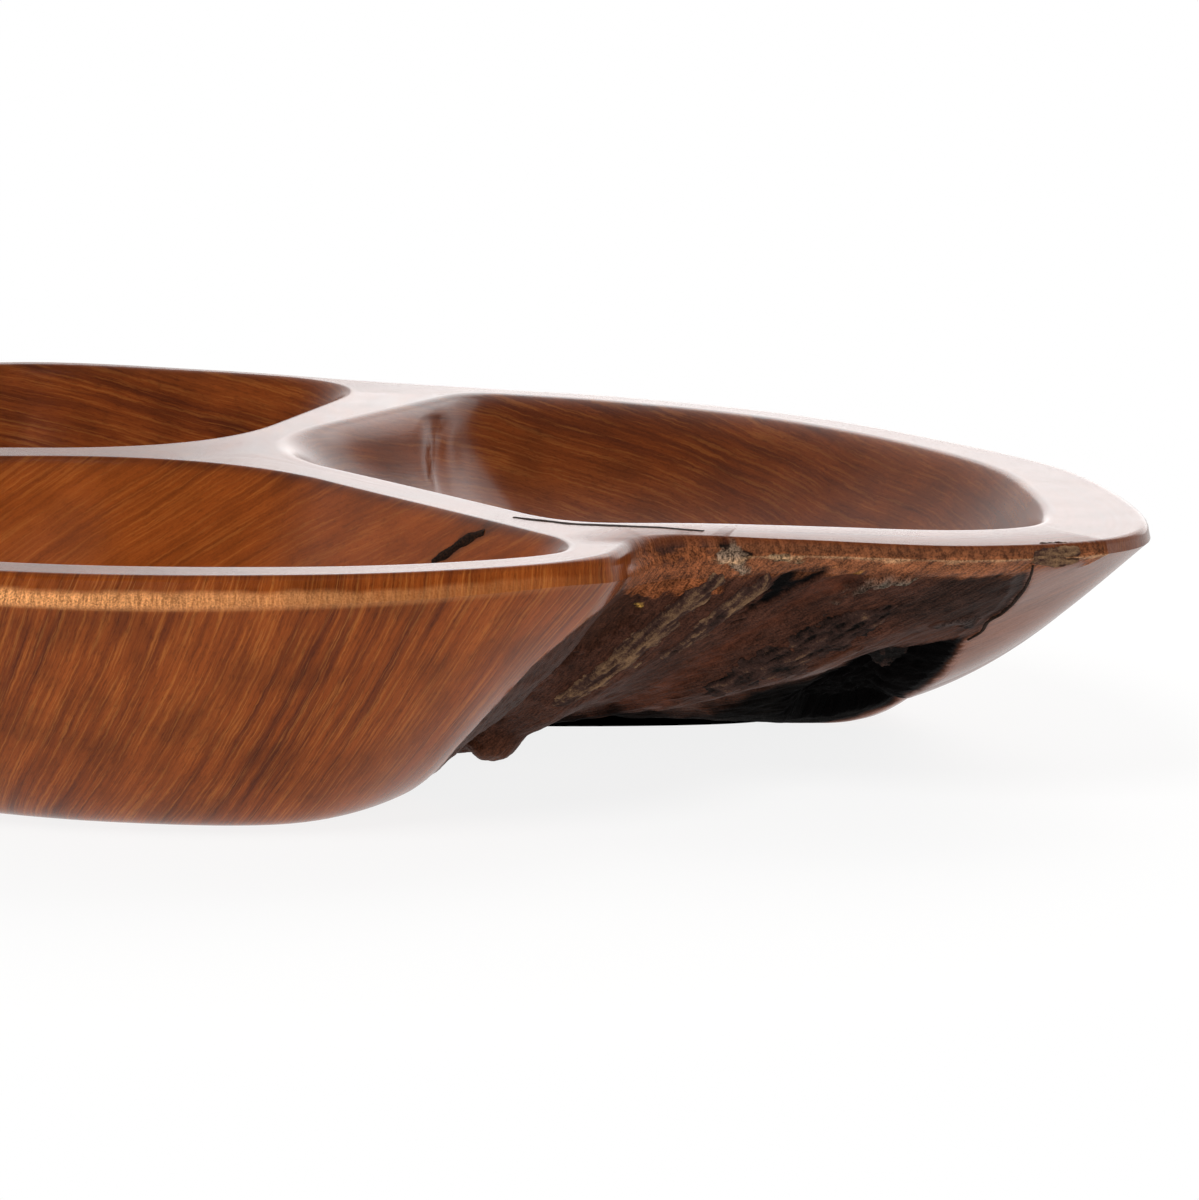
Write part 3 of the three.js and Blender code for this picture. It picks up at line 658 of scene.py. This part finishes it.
def finish_piece(piece, material, slot, *nodes):
    """Smooths a piece, gives it its material, and sets it in place of its CAD nodes."""
    bpy.ops.object.mode_set(mode="EDIT")
    bpy.ops.mesh.select_all(action="SELECT")
    bpy.ops.mesh.normals_make_consistent(inside=False)
    bpy.ops.object.mode_set(mode="OBJECT")
    bpy.ops.object.shade_smooth_by_angle(angle=math.radians(50))
    piece.data.materials.append(material)
    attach(piece, "root")
    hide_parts(*nodes)


def set_inputs(tree, node, inputs):
    """Links an input to a socket or to the first output in use of a node, and sets any other value."""
    for key, value in inputs.items():
        if isinstance(value, bpy.types.Node):
            value = next(output for output in value.outputs if output.enabled)
        if isinstance(value, bpy.types.NodeSocket):
            tree.links.new(value, node.inputs[key])
        else:
            node.inputs[key].default_value = value


def add_node(tree, kind, inputs=None, stops=(), **settings):
    """Adds a shader node with its settings and inputs. The stops are a ramp's colours."""
    made = tree.nodes.new("ShaderNode" + kind)
    for key, value in settings.items():
        setattr(made, key, value)
    set_inputs(tree, made, inputs or {})
    for i, (position, colour) in enumerate(stops):
        ramp = made.color_ramp.elements
        stop = ramp[i] if i < 2 else ramp.new(position)
        stop.position = position
        stop.color = colour
    return made


def new_material(name):
    """An empty node material with its Principled shader."""
    material = bpy.data.materials.new(name)
    material.use_nodes = True
    tree = material.node_tree
    tree.nodes.clear()
    shader = add_node(tree, "BsdfPrincipled")
    add_node(tree, "OutputMaterial", {"Surface": shader})
    return material, tree, shader


def wood_patterns(tree, grain, place):
    """Noise drawn out along the grain, from broad growth bands down to pores."""
    bent = grain
    # The lines wander by about 1.2 mm over 60 mm, by 0.2 mm over 8 mm and by 0.1 mm over 2 mm.
    for frequency, width in ((16.0, 5.0), (120.0, 0.8), (500.0, 0.4)):
        wander = add_node(tree, "TexNoise", {"Vector": place, "Scale": frequency, "Detail": 1.0})
        shift = add_node(
            tree, "VectorMath", {0: wander.outputs["Color"], 1: (0.5, 0.5, 0.5)}, operation="SUBTRACT"
        )
        bent = add_node(
            tree, "VectorMath", {0: shift, 1: (width, 0.0, width), 2: bent}, operation="MULTIPLY_ADD"
        )
    patterns = {}
    # Growth bands about 22 mm wide, streaks 3 mm, lines 0.8 mm and pores 0.5 mm by 3 mm.
    for pattern, width, run, detail in (
        ("band", 22, 260, 2),
        ("streak", 3, 90, 4),
        ("line", 0.8, 36, 4),
        ("pore", 0.5, 3, 2),
    ):
        stretched = add_node(
            tree, "VectorMath", {0: bent, 1: (1 / width, 1 / run, 3 / run)}, operation="MULTIPLY"
        )
        patterns[pattern] = add_node(
            tree,
            "TexNoise",
            {"Vector": stretched, "Scale": 1.0, "Detail": float(detail), "Roughness": 0.65},
        )
    return patterns


def polished_wood(tree, finish, patterns, place):
    """The colour of the sanded wood, and how much its dark lines and pores shade it."""
    bands = add_node(tree, "Mix", {"Factor": 0.55, "A": patterns["band"], "B": patterns["streak"]})
    tone = add_node(
        tree,
        "ValToRGB",
        {"Fac": bands},
        stops=((0.39, finish.heartwood), (0.61, finish.pale_wood), (0.5, finish.wood)),
    )
    pale = add_node(
        tree, "MapRange", {"Value": patterns["line"], "From Min": 0.52, "From Max": 0.62, "To Max": 0.34}
    )
    lined = add_node(tree, "Mix", {"Factor": pale, "A": tone, "B": finish.sapwood}, data_type="RGBA")
    dark = add_node(
        tree, "MapRange", {"Value": patterns["line"], "From Min": 0.36, "From Max": 0.46, "To Min": 0.74}
    )
    pores = add_node(
        tree, "MapRange", {"Value": patterns["pore"], "From Min": 0.32, "From Max": 0.48, "To Min": 0.72}
    )
    shade = add_node(tree, "Math", {0: dark, 1: pores}, operation="MULTIPLY")
    # Darker clouds about 18 mm across.
    cloud = add_node(tree, "TexNoise", {"Vector": place, "Scale": 55.0, "Detail": 3.0})
    clouds = add_node(
        tree, "MapRange", {"Value": cloud, "From Min": 0.36, "From Max": 0.56, "To Min": 0.74}
    )
    clouded = add_node(tree, "Math", {0: shade, 1: clouds}, operation="MULTIPLY")
    polished = add_node(
        tree, "Mix", {"Factor": 1.0, "A": lined, "B": clouded}, data_type="RGBA", blend_type="MULTIPLY"
    )
    return polished, shade


def raw_wood(tree, paint, fibre, rough, place):
    """The painted colour of the raw wood broken up by its fibres, and the height of those."""
    # Raw fibres about 0.6 mm wide and 5 mm long, and grit of 0.5 mm.
    stretched = add_node(tree, "VectorMath", {0: fibre, 1: (1.6, 0.2, 0.0)}, operation="MULTIPLY")
    strands = add_node(
        tree, "TexNoise", {"Vector": stretched, "Scale": 1.0, "Detail": 3.0, "Roughness": 0.6}
    )
    grit = add_node(tree, "TexNoise", {"Vector": place, "Scale": 1900.0, "Detail": 2.0})
    texture = add_node(tree, "Mix", {"Factor": 0.45, "A": strands, "B": grit})
    flecks = add_node(
        tree,
        "MapRange",
        {"Value": texture, "From Min": 0.4, "From Max": 0.62, "To Min": 0.2, "To Max": 2.0},
    )
    strength = add_node(tree, "Math", {0: rough, 1: 0.25}, operation="ADD", use_clamp=True)
    flecked = add_node(
        tree, "Mix", {"Factor": strength, "A": paint, "B": flecks}, data_type="RGBA", blend_type="MULTIPLY"
    )
    return flecked, texture


def root_wood(finish, name, shine):
    """Root wood whose shine is a refractive index.

    The live_edge attribute paints the raw, weathered and burnt wood, and the tones of the smooth wood, over
    its lines. The third part of the fibre attribute says how rough the wood is.
    """
    material, tree, shader = new_material(name)
    grain = add_node(tree, "Attribute", attribute_name="grain").outputs["Vector"]
    live = add_node(tree, "Attribute", attribute_name="live_edge")
    fibre = add_node(tree, "Attribute", attribute_name="fibre").outputs["Vector"]
    rough = add_node(tree, "SeparateXYZ", {"Vector": fibre}).outputs["Z"]
    place = add_node(tree, "TexCoord").outputs["Object"]
    cover = live.outputs["Alpha"]
    patterns = wood_patterns(tree, grain, place)
    polished, shade = polished_wood(tree, finish, patterns, place)
    flecked, texture = raw_wood(tree, live.outputs["Color"], fibre, rough, place)
    wood_colour = add_node(tree, "Mix", {"Factor": cover, "A": polished, "B": flecked}, data_type="RGBA")
    gloss = add_node(
        tree,
        "MapRange",
        {"Value": patterns["streak"], "From Min": 0.3, "From Max": 0.7, "To Min": 0.17, "To Max": 0.25},
    )
    raw_gloss = add_node(tree, "MapRange", {"Value": rough, "To Min": 0.21, "To Max": 0.95})
    roughness = add_node(tree, "Mix", {"Factor": cover, "A": gloss, "B": raw_gloss})
    # Uneven sanding over about 30 mm, and the pores, under the lacquer.
    sanding = add_node(tree, "TexNoise", {"Vector": place, "Scale": 33.0, "Detail": 1.0})
    waves = add_node(tree, "Bump", {"Height": sanding, "Strength": 0.12, "Distance": 0.002})
    pits = add_node(tree, "Bump", {"Height": shade, "Strength": 0.1, "Distance": 0.0002, "Normal": waves})
    raw_relief = add_node(tree, "Math", {0: cover, 1: rough}, operation="MULTIPLY")
    raw_bump = add_node(
        tree, "Bump", {"Height": texture, "Strength": raw_relief, "Distance": 0.0012, "Normal": pits}
    )
    surface = {"Base Color": wood_colour, "Roughness": roughness, "Normal": raw_bump, "IOR": shine}
    set_inputs(tree, shader, surface)
    return material


def lacquered_root_wood(finish):
    """Teak root, sanded and lacquered: red-brown with fine pale lines and dark pores, under clear gloss."""
    return root_wood(finish, "lacquered_root_wood", 1.22)


def raw_root_wood(finish):
    """The same root where it was left as it grew: dry, torn and blackened fibres that hardly shine."""
    return root_wood(finish, "raw_root_wood", 1.1)


def weathered_bark(finish):
    """Dry bark: matt grey-brown strands, tan where they broke and nearly black in the cracks between them:
    part own colour, part painted shade.

    The relief attribute is the height of each place among the strands, and weathering is how pale the piece
    is. The fibre attribute runs across and along it in mm.
    """
    material, tree, shader = new_material("weathered_bark")
    relief = add_node(tree, "Attribute", attribute_name="relief").outputs["Fac"]
    weathering = add_node(tree, "Attribute", attribute_name="weathering").outputs["Fac"]
    fibre = add_node(tree, "Attribute", attribute_name="fibre").outputs["Vector"]
    place = add_node(tree, "TexCoord").outputs["Object"]
    # Strands about 0.6 mm wide and 4 mm long, grit of 0.5 mm, and paler patches of 8 mm.
    stretched = add_node(tree, "VectorMath", {0: fibre, 1: (1.6, 0.25, 0.0)}, operation="MULTIPLY")
    strands = add_node(
        tree, "TexNoise", {"Vector": stretched, "Scale": 1.0, "Detail": 4.0, "Roughness": 0.65}
    )
    grit = add_node(tree, "TexNoise", {"Vector": place, "Scale": 1900.0, "Detail": 3.0, "Roughness": 0.6})
    patches = add_node(tree, "TexNoise", {"Vector": place, "Scale": 125.0, "Detail": 2.0})
    texture = add_node(tree, "Mix", {"Factor": 0.5, "A": strands, "B": grit})
    height = add_node(tree, "Mix", {"Factor": 0.6, "A": relief, "B": texture})
    aged = add_node(tree, "Math", {0: height, 1: weathering}, operation="ADD")
    spread = add_node(tree, "Math", {0: patches, 1: 0.5, 2: aged}, operation="MULTIPLY_ADD")
    # The tone darkens with lower relief and towards the strip's edges: partly the bark's own colour, partly
    # painted shade.
    tone = add_node(
        tree,
        "ValToRGB",
        {"Fac": spread},
        stops=((0.52, finish.crevice), (1.0, finish.flake), (0.76, finish.bark)),
    )
    bump = add_node(tree, "Bump", {"Height": texture, "Strength": 1.0, "Distance": 0.0014})
    set_inputs(tree, shader, {"Base Color": tone, "Roughness": 0.9, "Normal": bump, "IOR": 1.2})
    return material


def crack_filler(finish):
    """Dark resin and wood dust pressed into cracks: nearly black, matt and slightly grainy."""
    material, tree, shader = new_material("crack_filler")
    place = add_node(tree, "TexCoord").outputs["Object"]
    # Dust about 0.5 mm across.
    dust = add_node(tree, "TexNoise", {"Vector": place, "Scale": 2000.0, "Detail": 2.0})
    tone = add_node(tree, "ValToRGB", {"Fac": dust}, stops=((0.35, finish.crevice), (0.75, finish.filler)))
    bump = add_node(tree, "Bump", {"Height": dust, "Strength": 0.5, "Distance": 0.0004})
    set_inputs(tree, shader, {"Base Color": tone, "Roughness": 0.8, "Normal": bump, "IOR": 1.2})
    return material


def length(name, description, default):
    """A length property in metres from mm."""
    return bpy.props.FloatProperty(
        name=name, description=description, default=default * MM, min=0, unit="LENGTH"
    )


def colour(name, description, default):
    """A colour property from an sRGB hex colour."""
    return bpy.props.FloatVectorProperty(
        name=name, description=description, default=linear(default), size=4, min=0, max=1, subtype="COLOR"
    )


class BowlSizes(bpy.types.PropertyGroup):
    """Sizes of the carved wood."""

    height: length("Height", "Floor to rim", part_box("bowl_body")[1][2] / MM)
    rim_round: length("Rim rounding", "Radius of the rim's edges", 1.2)
    lip: length("Lip", "Softness of the hollows' lips where they are crispest", 2.5)
    groove_depth: length("Groove depth", "Depth of the broad grooves of the live edge", 5)
    pocket_depth: length("Pocket depth", "Depth of the dark pocket under the right lobe", 7)
    bark_relief: length("Bark relief", "Height of the bark's strands", 0.8)


class WoodFinish(bpy.types.PropertyGroup):
    """Colours of the lacquered wood."""

    heartwood: colour("Heartwood", "Darkest bands of the wood", "#602a10")
    wood: colour("Wood", "Most of the wood", "#843e14")
    pale_wood: colour("Pale wood", "Palest bands of the wood", "#94491a")
    sapwood: colour("Sapwood", "Fine pale lines of the wood", "#bd7636")


class BarkFinish(bpy.types.PropertyGroup):
    """Colours of the bark and of the filled cracks."""

    crevice: colour("Crevice", "Cracks between the strands", "#0c0806")
    bark: colour("Bark", "Most of the bark", "#463029")
    flake: colour("Flake", "Dry broken edges", "#957353")
    filler: colour("Filler", "Dust in the crack filler", "#3a261a")


class StageLook(bpy.types.PropertyGroup):
    """Floor and light."""

    floor: colour("Floor", "Floor near the bowl", "#f6f5f3")
    floor_glow: bpy.props.FloatProperty(
        name="Floor glow",
        description="Share of the floor's white that comes from below",
        default=0.85,
        min=0,
        max=1,
    )
    key_power: bpy.props.FloatProperty(
        name="Key light", description="Power of the high front light", default=38, min=0, unit="POWER"
    )


def fill_rim():
    """Closes the flat rim between the open edges of the active piece."""
    bpy.ops.object.mode_set(mode="EDIT")
    bpy.ops.mesh.select_mode(type="EDGE")
    bpy.ops.mesh.select_all(action="DESELECT")
    bpy.ops.mesh.select_non_manifold(
        use_wire=False, use_boundary=True, use_multi_face=False, use_non_contiguous=False, use_verts=False
    )
    bpy.ops.mesh.fill(use_beauty=True)
    bpy.ops.object.mode_set(mode="OBJECT")


class BOWL_OT_carve_body(bpy.types.Operator):
    """Carve the wood: the flank with its live edge, three hollows and the flat rim between them"""

    bl_idname = "bowl.carve_body"
    bl_label = "Carve body"

    def execute(self, context):
        sizes = millimetres(context.scene.bowl_sizes)
        rings, grain, paint, fibre, is_raw = flank_rings(sizes)
        columns = rings.shape[1]
        points, grains, paints = [rings.reshape(-1, 3)], [grain.reshape(-1, 3)], [paint.reshape(-1, 4)]
        fibres = [fibre.reshape(-1, 3)]
        faces = ring_faces(0, len(rings), columns, BESIDE_POCKET)
        faces.append(list(range(columns - 1, -1, -1)))
        first = len(points[0])
        for hollow in HOLLOWS.values():
            rings, grain = hollow_rings(hollow, sizes)
            faces += ring_faces(first, len(rings), SPOKES)
            floor = first + (len(rings) - 1) * SPOKES
            faces.append(list(range(floor, floor + SPOKES)))
            points.append(rings.reshape(-1, 3))
            grains.append(grain.reshape(-1, 3))
            paints.append(hollow_paint(hollow, rings, sizes))
            fibres.append(np.zeros((len(points[-1]), 3)))
            first += len(points[-1])
        body = new_piece("carved_bowl", np.concatenate(points), faces)
        fill_rim()
        give_attribute(body, "grain", "FLOAT_VECTOR", np.concatenate(grains))
        give_attribute(body, "live_edge", "FLOAT_COLOR", np.concatenate(paints))
        give_attribute(body, "fibre", "FLOAT_VECTOR", np.concatenate(fibres))
        finish = context.scene.wood_finish
        finish_piece(body, lacquered_root_wood(finish), "root_wood", "bowl_body")
        body.data.materials.append(raw_root_wood(finish))
        is_raw = np.pad(is_raw.ravel(), (0, len(body.data.vertices) - is_raw.size))
        slots = [int(is_raw[face.vertices[0]]) for face in body.data.polygons]
        body.data.polygons.foreach_set("material_index", slots)
        return {"FINISHED"}


# Pieces of bark: paleness, seat and crown in mm, then a path of direction, rise and half width in mm.
BARK = {
    "bark_ridge_left": (
        0.05, 3, 1.3,
        ((-46.5, 0.98, 2), (-46.3, 0.955, 3.6), (-46.4, 0.92, 4.4), (-47.1, 0.84, 4.4),
         (-47.6, 0.755, 4.8), (-48.2, 0.67, 4.8), (-48.8, 0.59, 4.4), (-49.6, 0.48, 2.4)),
    ),
    "bark_ridge_middle": (
        0, 3, 1.2,
        ((-43.9, 0.965, 2.2), (-43.7, 0.92, 3.4), (-43.9, 0.86, 4), (-44, 0.8, 4), (-44.2, 0.74, 3.6),
         (-44.6, 0.68, 2)),
    ),
    "bark_patch_right": (
        -0.1, 3, 0.8,
        ((-37.6, 0.88, 2), (-37.8, 0.8, 5), (-37.8, 0.72, 6.5), (-37.6, 0.63, 6.5), (-37.3, 0.54, 5),
         (-37, 0.45, 2.5)),
    ),
    "pocket_bark": (
        -0.25, 9, -6,
        ((-31.6, 0.66, 2), (-30.4, 0.665, 5), (-29, 0.66, 6.5), (-27.6, 0.645, 5.5), (-26.2, 0.62, 2)),
    ),
    "rim_bark_chip": (
        0.12, 3, 0.5,
        ((-35.4, 1.06, 1.6), (-34.8, 1.065, 2.8), (-33.8, 1.06, 3), (-33, 1.045, 1.8)),
    ),
}
# Filled cracks: the surface they lie on, then a path of direction, rise or inset, and half width in mm.
FILLS = {
    "rim_crack_fill": (
        "rim",
        ((-54.3, 53, 0.8), (-53.1, 42, 1.3), (-51.5, 29, 1.5), (-48.9, 20, 1.4), (-47, 17.3, 1.2),
         (-45.7, 13.8, 1)),
    ),
    "hollow_bark_streak": (
        "front",
        ((348.4, 0.6, 0.8), (349.5, 1.5, 1.4), (350.7, 2.7, 1.6), (352, 4, 1.4), (353.6, 5.2, 0.8)),
    ),
    "side_seam_fill": (
        "flank",
        ((-34.8, 0.98, 0.3), (-33.6, 0.936, 0.4), (-31.8, 0.876, 0.45), (-30.6, 0.836, 0.45),
         (-30.3, 0.812, 0.45), (-29.3, 0.79, 0.4), (-29, 0.768, 0.3)),
    ),
}
FILL = SimpleNamespace(seat=2, crown=0.22, relief=0.05, sink=0)
STRIP_SECTIONS = 170
STRIP_ACROSS = 24
STRIP_TAPER = 0.12  # share of its length over which each end goes down
STRAND_WIDTH, STRAND_SHORTENED = 1.4, 0.17
BARK_CRUMB = 1.2
BARK_SINK = 1.1
EDGE_WANDER, EDGE_WANDER_LENGTH = 0.45, 6.0  # a share of the half width, over mm


def strip(surface, steps, path, seat, crown, relief, sink):
    """A closed strip along a path on a surface, its stranded top raised to a crown and sunk at its edges.

    Also the height of each point among its strands, and how far it lies across and along the strip in mm.
    """
    samples = along_path(path, STRIP_SECTIONS)
    a, b, half = samples[:, 0], samples[:, 1], samples[:, 2]
    normal = steps_along(surface, a, b, *steps)[2]
    centre = surface(a, b)
    ahead = np.gradient(centre, axis=0)
    along = np.cumsum(np.linalg.norm(ahead, axis=1))
    ahead /= np.linalg.norm(ahead, axis=1, keepdims=True)
    sideways = np.cross(normal, ahead)
    sides = np.linspace(1, -1, STRIP_ACROSS)
    wander = [fractal(centre + offset, EDGE_WANDER_LENGTH, 4) for offset in (0, 40)]
    edges = [half * (1 + EDGE_WANDER * way) for way in wander]
    across = np.where(sides > 0, edges[0][:, None], edges[1][:, None]) * sides
    flat = centre[:, None] + sideways[:, None] * across[..., None]
    lengthwise = np.broadcast_to(along[:, None], across.shape)
    fibre = np.stack((across, lengthwise, np.zeros(across.shape)), axis=-1)
    strands = fractal((fibre * (1, STRAND_SHORTENED, 1)).reshape(-1, 3) + centre[0], STRAND_WIDTH, 3)
    crumbs = fractal(flat.reshape(-1, 3), BARK_CRUMB, 4)
    bumps = (0.8 * strands + 0.3 * crumbs).reshape(across.shape)
    ends = smoothstep(0, STRIP_TAPER, 0.5 - np.abs(np.linspace(-0.5, 0.5, STRIP_SECTIONS)))[:, None]
    height = crown - (max(crown, 0) + sink) * sides**2 + relief * bumps - 2 * sink * (1 - ends)
    top = flat + normal[:, None] * height[..., None]
    bottom = (flat - normal[:, None] * seat)[:, ::-1]
    rings = np.concatenate((top, bottom), axis=1)
    # The relief that sets the colour falls towards the strip's edges, a painted shade where the bark meets
    # the wood.
    heights = np.concatenate((0.5 + 0.6 * bumps - 0.15 * sides**2, np.zeros(bumps.shape)), axis=1)
    fibre = np.concatenate((fibre, fibre[:, ::-1]), axis=1)
    faces = ring_faces(0, len(rings), rings.shape[1])
    last = (len(rings) - 1) * rings.shape[1]
    faces.append(list(range(rings.shape[1] - 1, -1, -1)))
    faces.append(list(range(last, last + rings.shape[1])))
    return rings.reshape(-1, 3), faces, heights.ravel(), fibre.reshape(-1, 3)


class BOWL_OT_lay_bark(bpy.types.Operator):
    """Lay the ridges, the patch and the scraps of bark in the live edge"""

    bl_idname = "bowl.lay_bark"
    bl_label = "Lay bark"

    def execute(self, context):
        sizes = millimetres(context.scene.bowl_sizes)
        material = weathered_bark(context.scene.bark_finish)
        for name, (paleness, seat, crown, path) in BARK.items():
            points, faces, heights, fibre = strip(
                lambda a, b: flank(a, b, sizes),
                FLANK_STEPS,
                path,
                seat,
                crown,
                sizes.bark_relief,
                BARK_SINK,
            )
            piece = new_piece(name + "_flakes", points, faces)
            give_attribute(piece, "relief", "FLOAT", heights)
            give_attribute(piece, "weathering", "FLOAT", np.full(len(points), paleness))
            give_attribute(piece, "fibre", "FLOAT_VECTOR", fibre)
            finish_piece(piece, material, "bark", name)
        return {"FINISHED"}


class BOWL_OT_fill_cracks(bpy.types.Operator):
    """Fill the crack over the rim, the streak below it and the seam beside the bark"""

    bl_idname = "bowl.fill_cracks"
    bl_label = "Fill cracks"

    def execute(self, context):
        sizes = millimetres(context.scene.bowl_sizes)
        material = crack_filler(context.scene.bark_finish)

        def rim_top(direction, inset):
            level = drawn_out(closed_curve(STATIONS[:, 1], place_of(direction)), -inset)
            return at_height(level, sizes.height)

        surfaces = {
            "rim": (rim_top, (0.1, 0.1)),
            "front": (lambda a, b: hollow_wall(HOLLOWS["front"], a, b, sizes), (0.1, 0.1)),
            "flank": (lambda a, b: flank(a, b, sizes), FLANK_STEPS),
        }
        for name, (on, path) in FILLS.items():
            points, faces, _heights, _fibre = strip(
                *surfaces[on], path, FILL.seat, FILL.crown, FILL.relief, FILL.sink
            )
            finish_piece(new_piece(name + "_seal", points, faces), material, "bark", name)
        return {"FINISHED"}


CAMERA = SimpleNamespace(location=(0.07045, -1.7832, 0.364), tilt=79.5, lens=192, sensor=36)
FLOOR = SimpleNamespace(radius=8, below=0.0003)
# Lamps: power in watts, width in metres, place, and whether the lacquer reflects them. The key light's power
# is a setting.
KEY = (1.2, (-0.7, -1.6, 2.2), False)
LAMPS = {
    "front": (30, 2.4, (0.5, -3.2, 0.9), False),
    "side": (14, 1.4, (0.8, 1.3, 1.6), True),
    "back": (22, 2.2, (0.8, 2.2, 0.7), True),
}


class BOWL_OT_set_stage(bpy.types.Operator):
    """Set the floor, the lights and the camera"""

    bl_idname = "bowl.set_stage"
    bl_label = "Set stage"

    def execute(self, context):
        look = context.scene.stage_look
        bpy.ops.object.select_all(action="DESELECT")
        bpy.ops.mesh.primitive_circle_add(
            vertices=96, radius=FLOOR.radius, fill_type="NGON", location=(0, 0, -FLOOR.below)
        )
        floor = context.object
        floor.name = "floor"
        bpy.ops.object.transform_apply(location=True)
        floor.data.materials.append(self.floor_sheet(look))
        self.light_world(context.scene)
        lamps = {"key": (look.key_power, *KEY), **LAMPS}
        for name, (power, size, location, is_reflected) in lamps.items():
            aim = (-Vector(location)).to_track_quat("-Z", "Y").to_euler()
            bpy.ops.object.light_add(type="AREA", location=location, rotation=aim)
            lamp = context.object
            lamp.name = name + "_light"
            lamp.data.energy = power
            lamp.data.shape = "DISK"
            lamp.data.size = size
            lamp.visible_glossy = is_reflected
        bpy.ops.object.camera_add(location=CAMERA.location, rotation=(math.radians(CAMERA.tilt), 0, 0))
        camera = context.object
        camera.data.lens = CAMERA.lens
        camera.data.sensor_width = CAMERA.sensor
        context.scene.camera = camera
        context.scene.view_settings.view_transform = "Standard"
        return {"FINISHED"}

    def floor_sheet(self, look):
        """White translucent sheet lit from below: soft shadow near the bowl, plain white further out."""
        material, tree, shader = new_material("white_sheet")
        place = add_node(tree, "TexCoord").outputs["Object"]
        away = add_node(tree, "VectorMath", {0: place}, operation="LENGTH")
        fade = add_node(
            tree,
            "MapRange",
            {"Value": away, "From Min": 0.12, "From Max": 0.42},
            interpolation_type="SMOOTHSTEP",
        )
        path = add_node(tree, "LightPath")
        seen = add_node(
            tree,
            "Math",
            {0: path.outputs["Is Camera Ray"], 1: path.outputs["Is Glossy Ray"]},
            operation="ADD",
        )
        seen = add_node(
            tree, "Math", {0: seen, 1: path.outputs["Is Transmission Ray"]}, operation="ADD", use_clamp=True
        )
        far = add_node(tree, "Math", {0: fade, 1: seen}, operation="MULTIPLY")
        share = add_node(tree, "Math", {0: far, 1: look.floor_glow}, operation="MAXIMUM")
        white = add_node(tree, "Emission", {"Color": (1, 1, 1, 1), "Strength": 1.0})
        mix = add_node(tree, "MixShader", {"Fac": share, 1: shader, 2: white})
        set_inputs(tree, tree.nodes["Material Output"], {"Surface": mix})
        sheet = {"Base Color": look.floor, "Roughness": 0.9, "Specular IOR Level": 0.1}
        set_inputs(tree, shader, sheet)
        return material

    def light_world(self, scene):
        """A studio with a white backdrop, dim overhead and behind the camera."""
        world = bpy.data.worlds.new("studio")
        world.use_nodes = True
        scene.world = world
        tree = world.node_tree
        tree.nodes.clear()
        way = add_node(tree, "TexCoord").outputs["Generated"]
        split = add_node(tree, "SeparateXYZ", {"Vector": way})
        studio = add_node(
            tree,
            "MapRange",
            {"Value": split.outputs["Y"], "From Min": 0.1, "From Max": 0.6, "To Min": 0.2, "To Max": 1.0},
        )
        path = add_node(tree, "LightPath")
        strength = add_node(tree, "Mix", {"Factor": path.outputs["Is Camera Ray"], "A": studio, "B": 1.0})
        light = add_node(tree, "Background", {"Color": (1, 1, 1, 1), "Strength": strength})
        add_node(tree, "OutputWorld", {"Surface": light})


class BOWL_PT_sidebar(bpy.types.Panel):
    """Buttons and sizes of the bowl."""

    bl_idname = "BOWL_PT_sidebar"
    bl_label = "Live-edge bowl"
    bl_space_type = "VIEW_3D"
    bl_region_type = "UI"
    bl_category = "Bowl"

    def draw(self, context):
        for key, group in GROUPS.items():
            for name in group.__annotations__:
                self.layout.prop(getattr(context.scene, key), name)
        for step in STEPS:
            self.layout.operator(step.bl_idname)


GROUPS = {
    "bowl_sizes": BowlSizes,
    "wood_finish": WoodFinish,
    "bark_finish": BarkFinish,
    "stage_look": StageLook,
}
STEPS = (BOWL_OT_carve_body, BOWL_OT_lay_bark, BOWL_OT_fill_cracks, BOWL_OT_set_stage)
CLASSES = (*GROUPS.values(), *STEPS, BOWL_PT_sidebar)


def register():
    for cls in CLASSES:
        bpy.utils.register_class(cls)
    for key, group in GROUPS.items():
        setattr(bpy.types.Scene, key, bpy.props.PointerProperty(type=group))


def unregister():
    for key in GROUPS:
        delattr(bpy.types.Scene, key)
    for cls in reversed(CLASSES):
        bpy.utils.unregister_class(cls)


def main():
    register()
    bpy.ops.bowl.carve_body()
    bpy.ops.bowl.lay_bark()
    bpy.ops.bowl.fill_cracks()
    bpy.ops.bowl.set_stage()


if __name__ == "__main__":
    main()
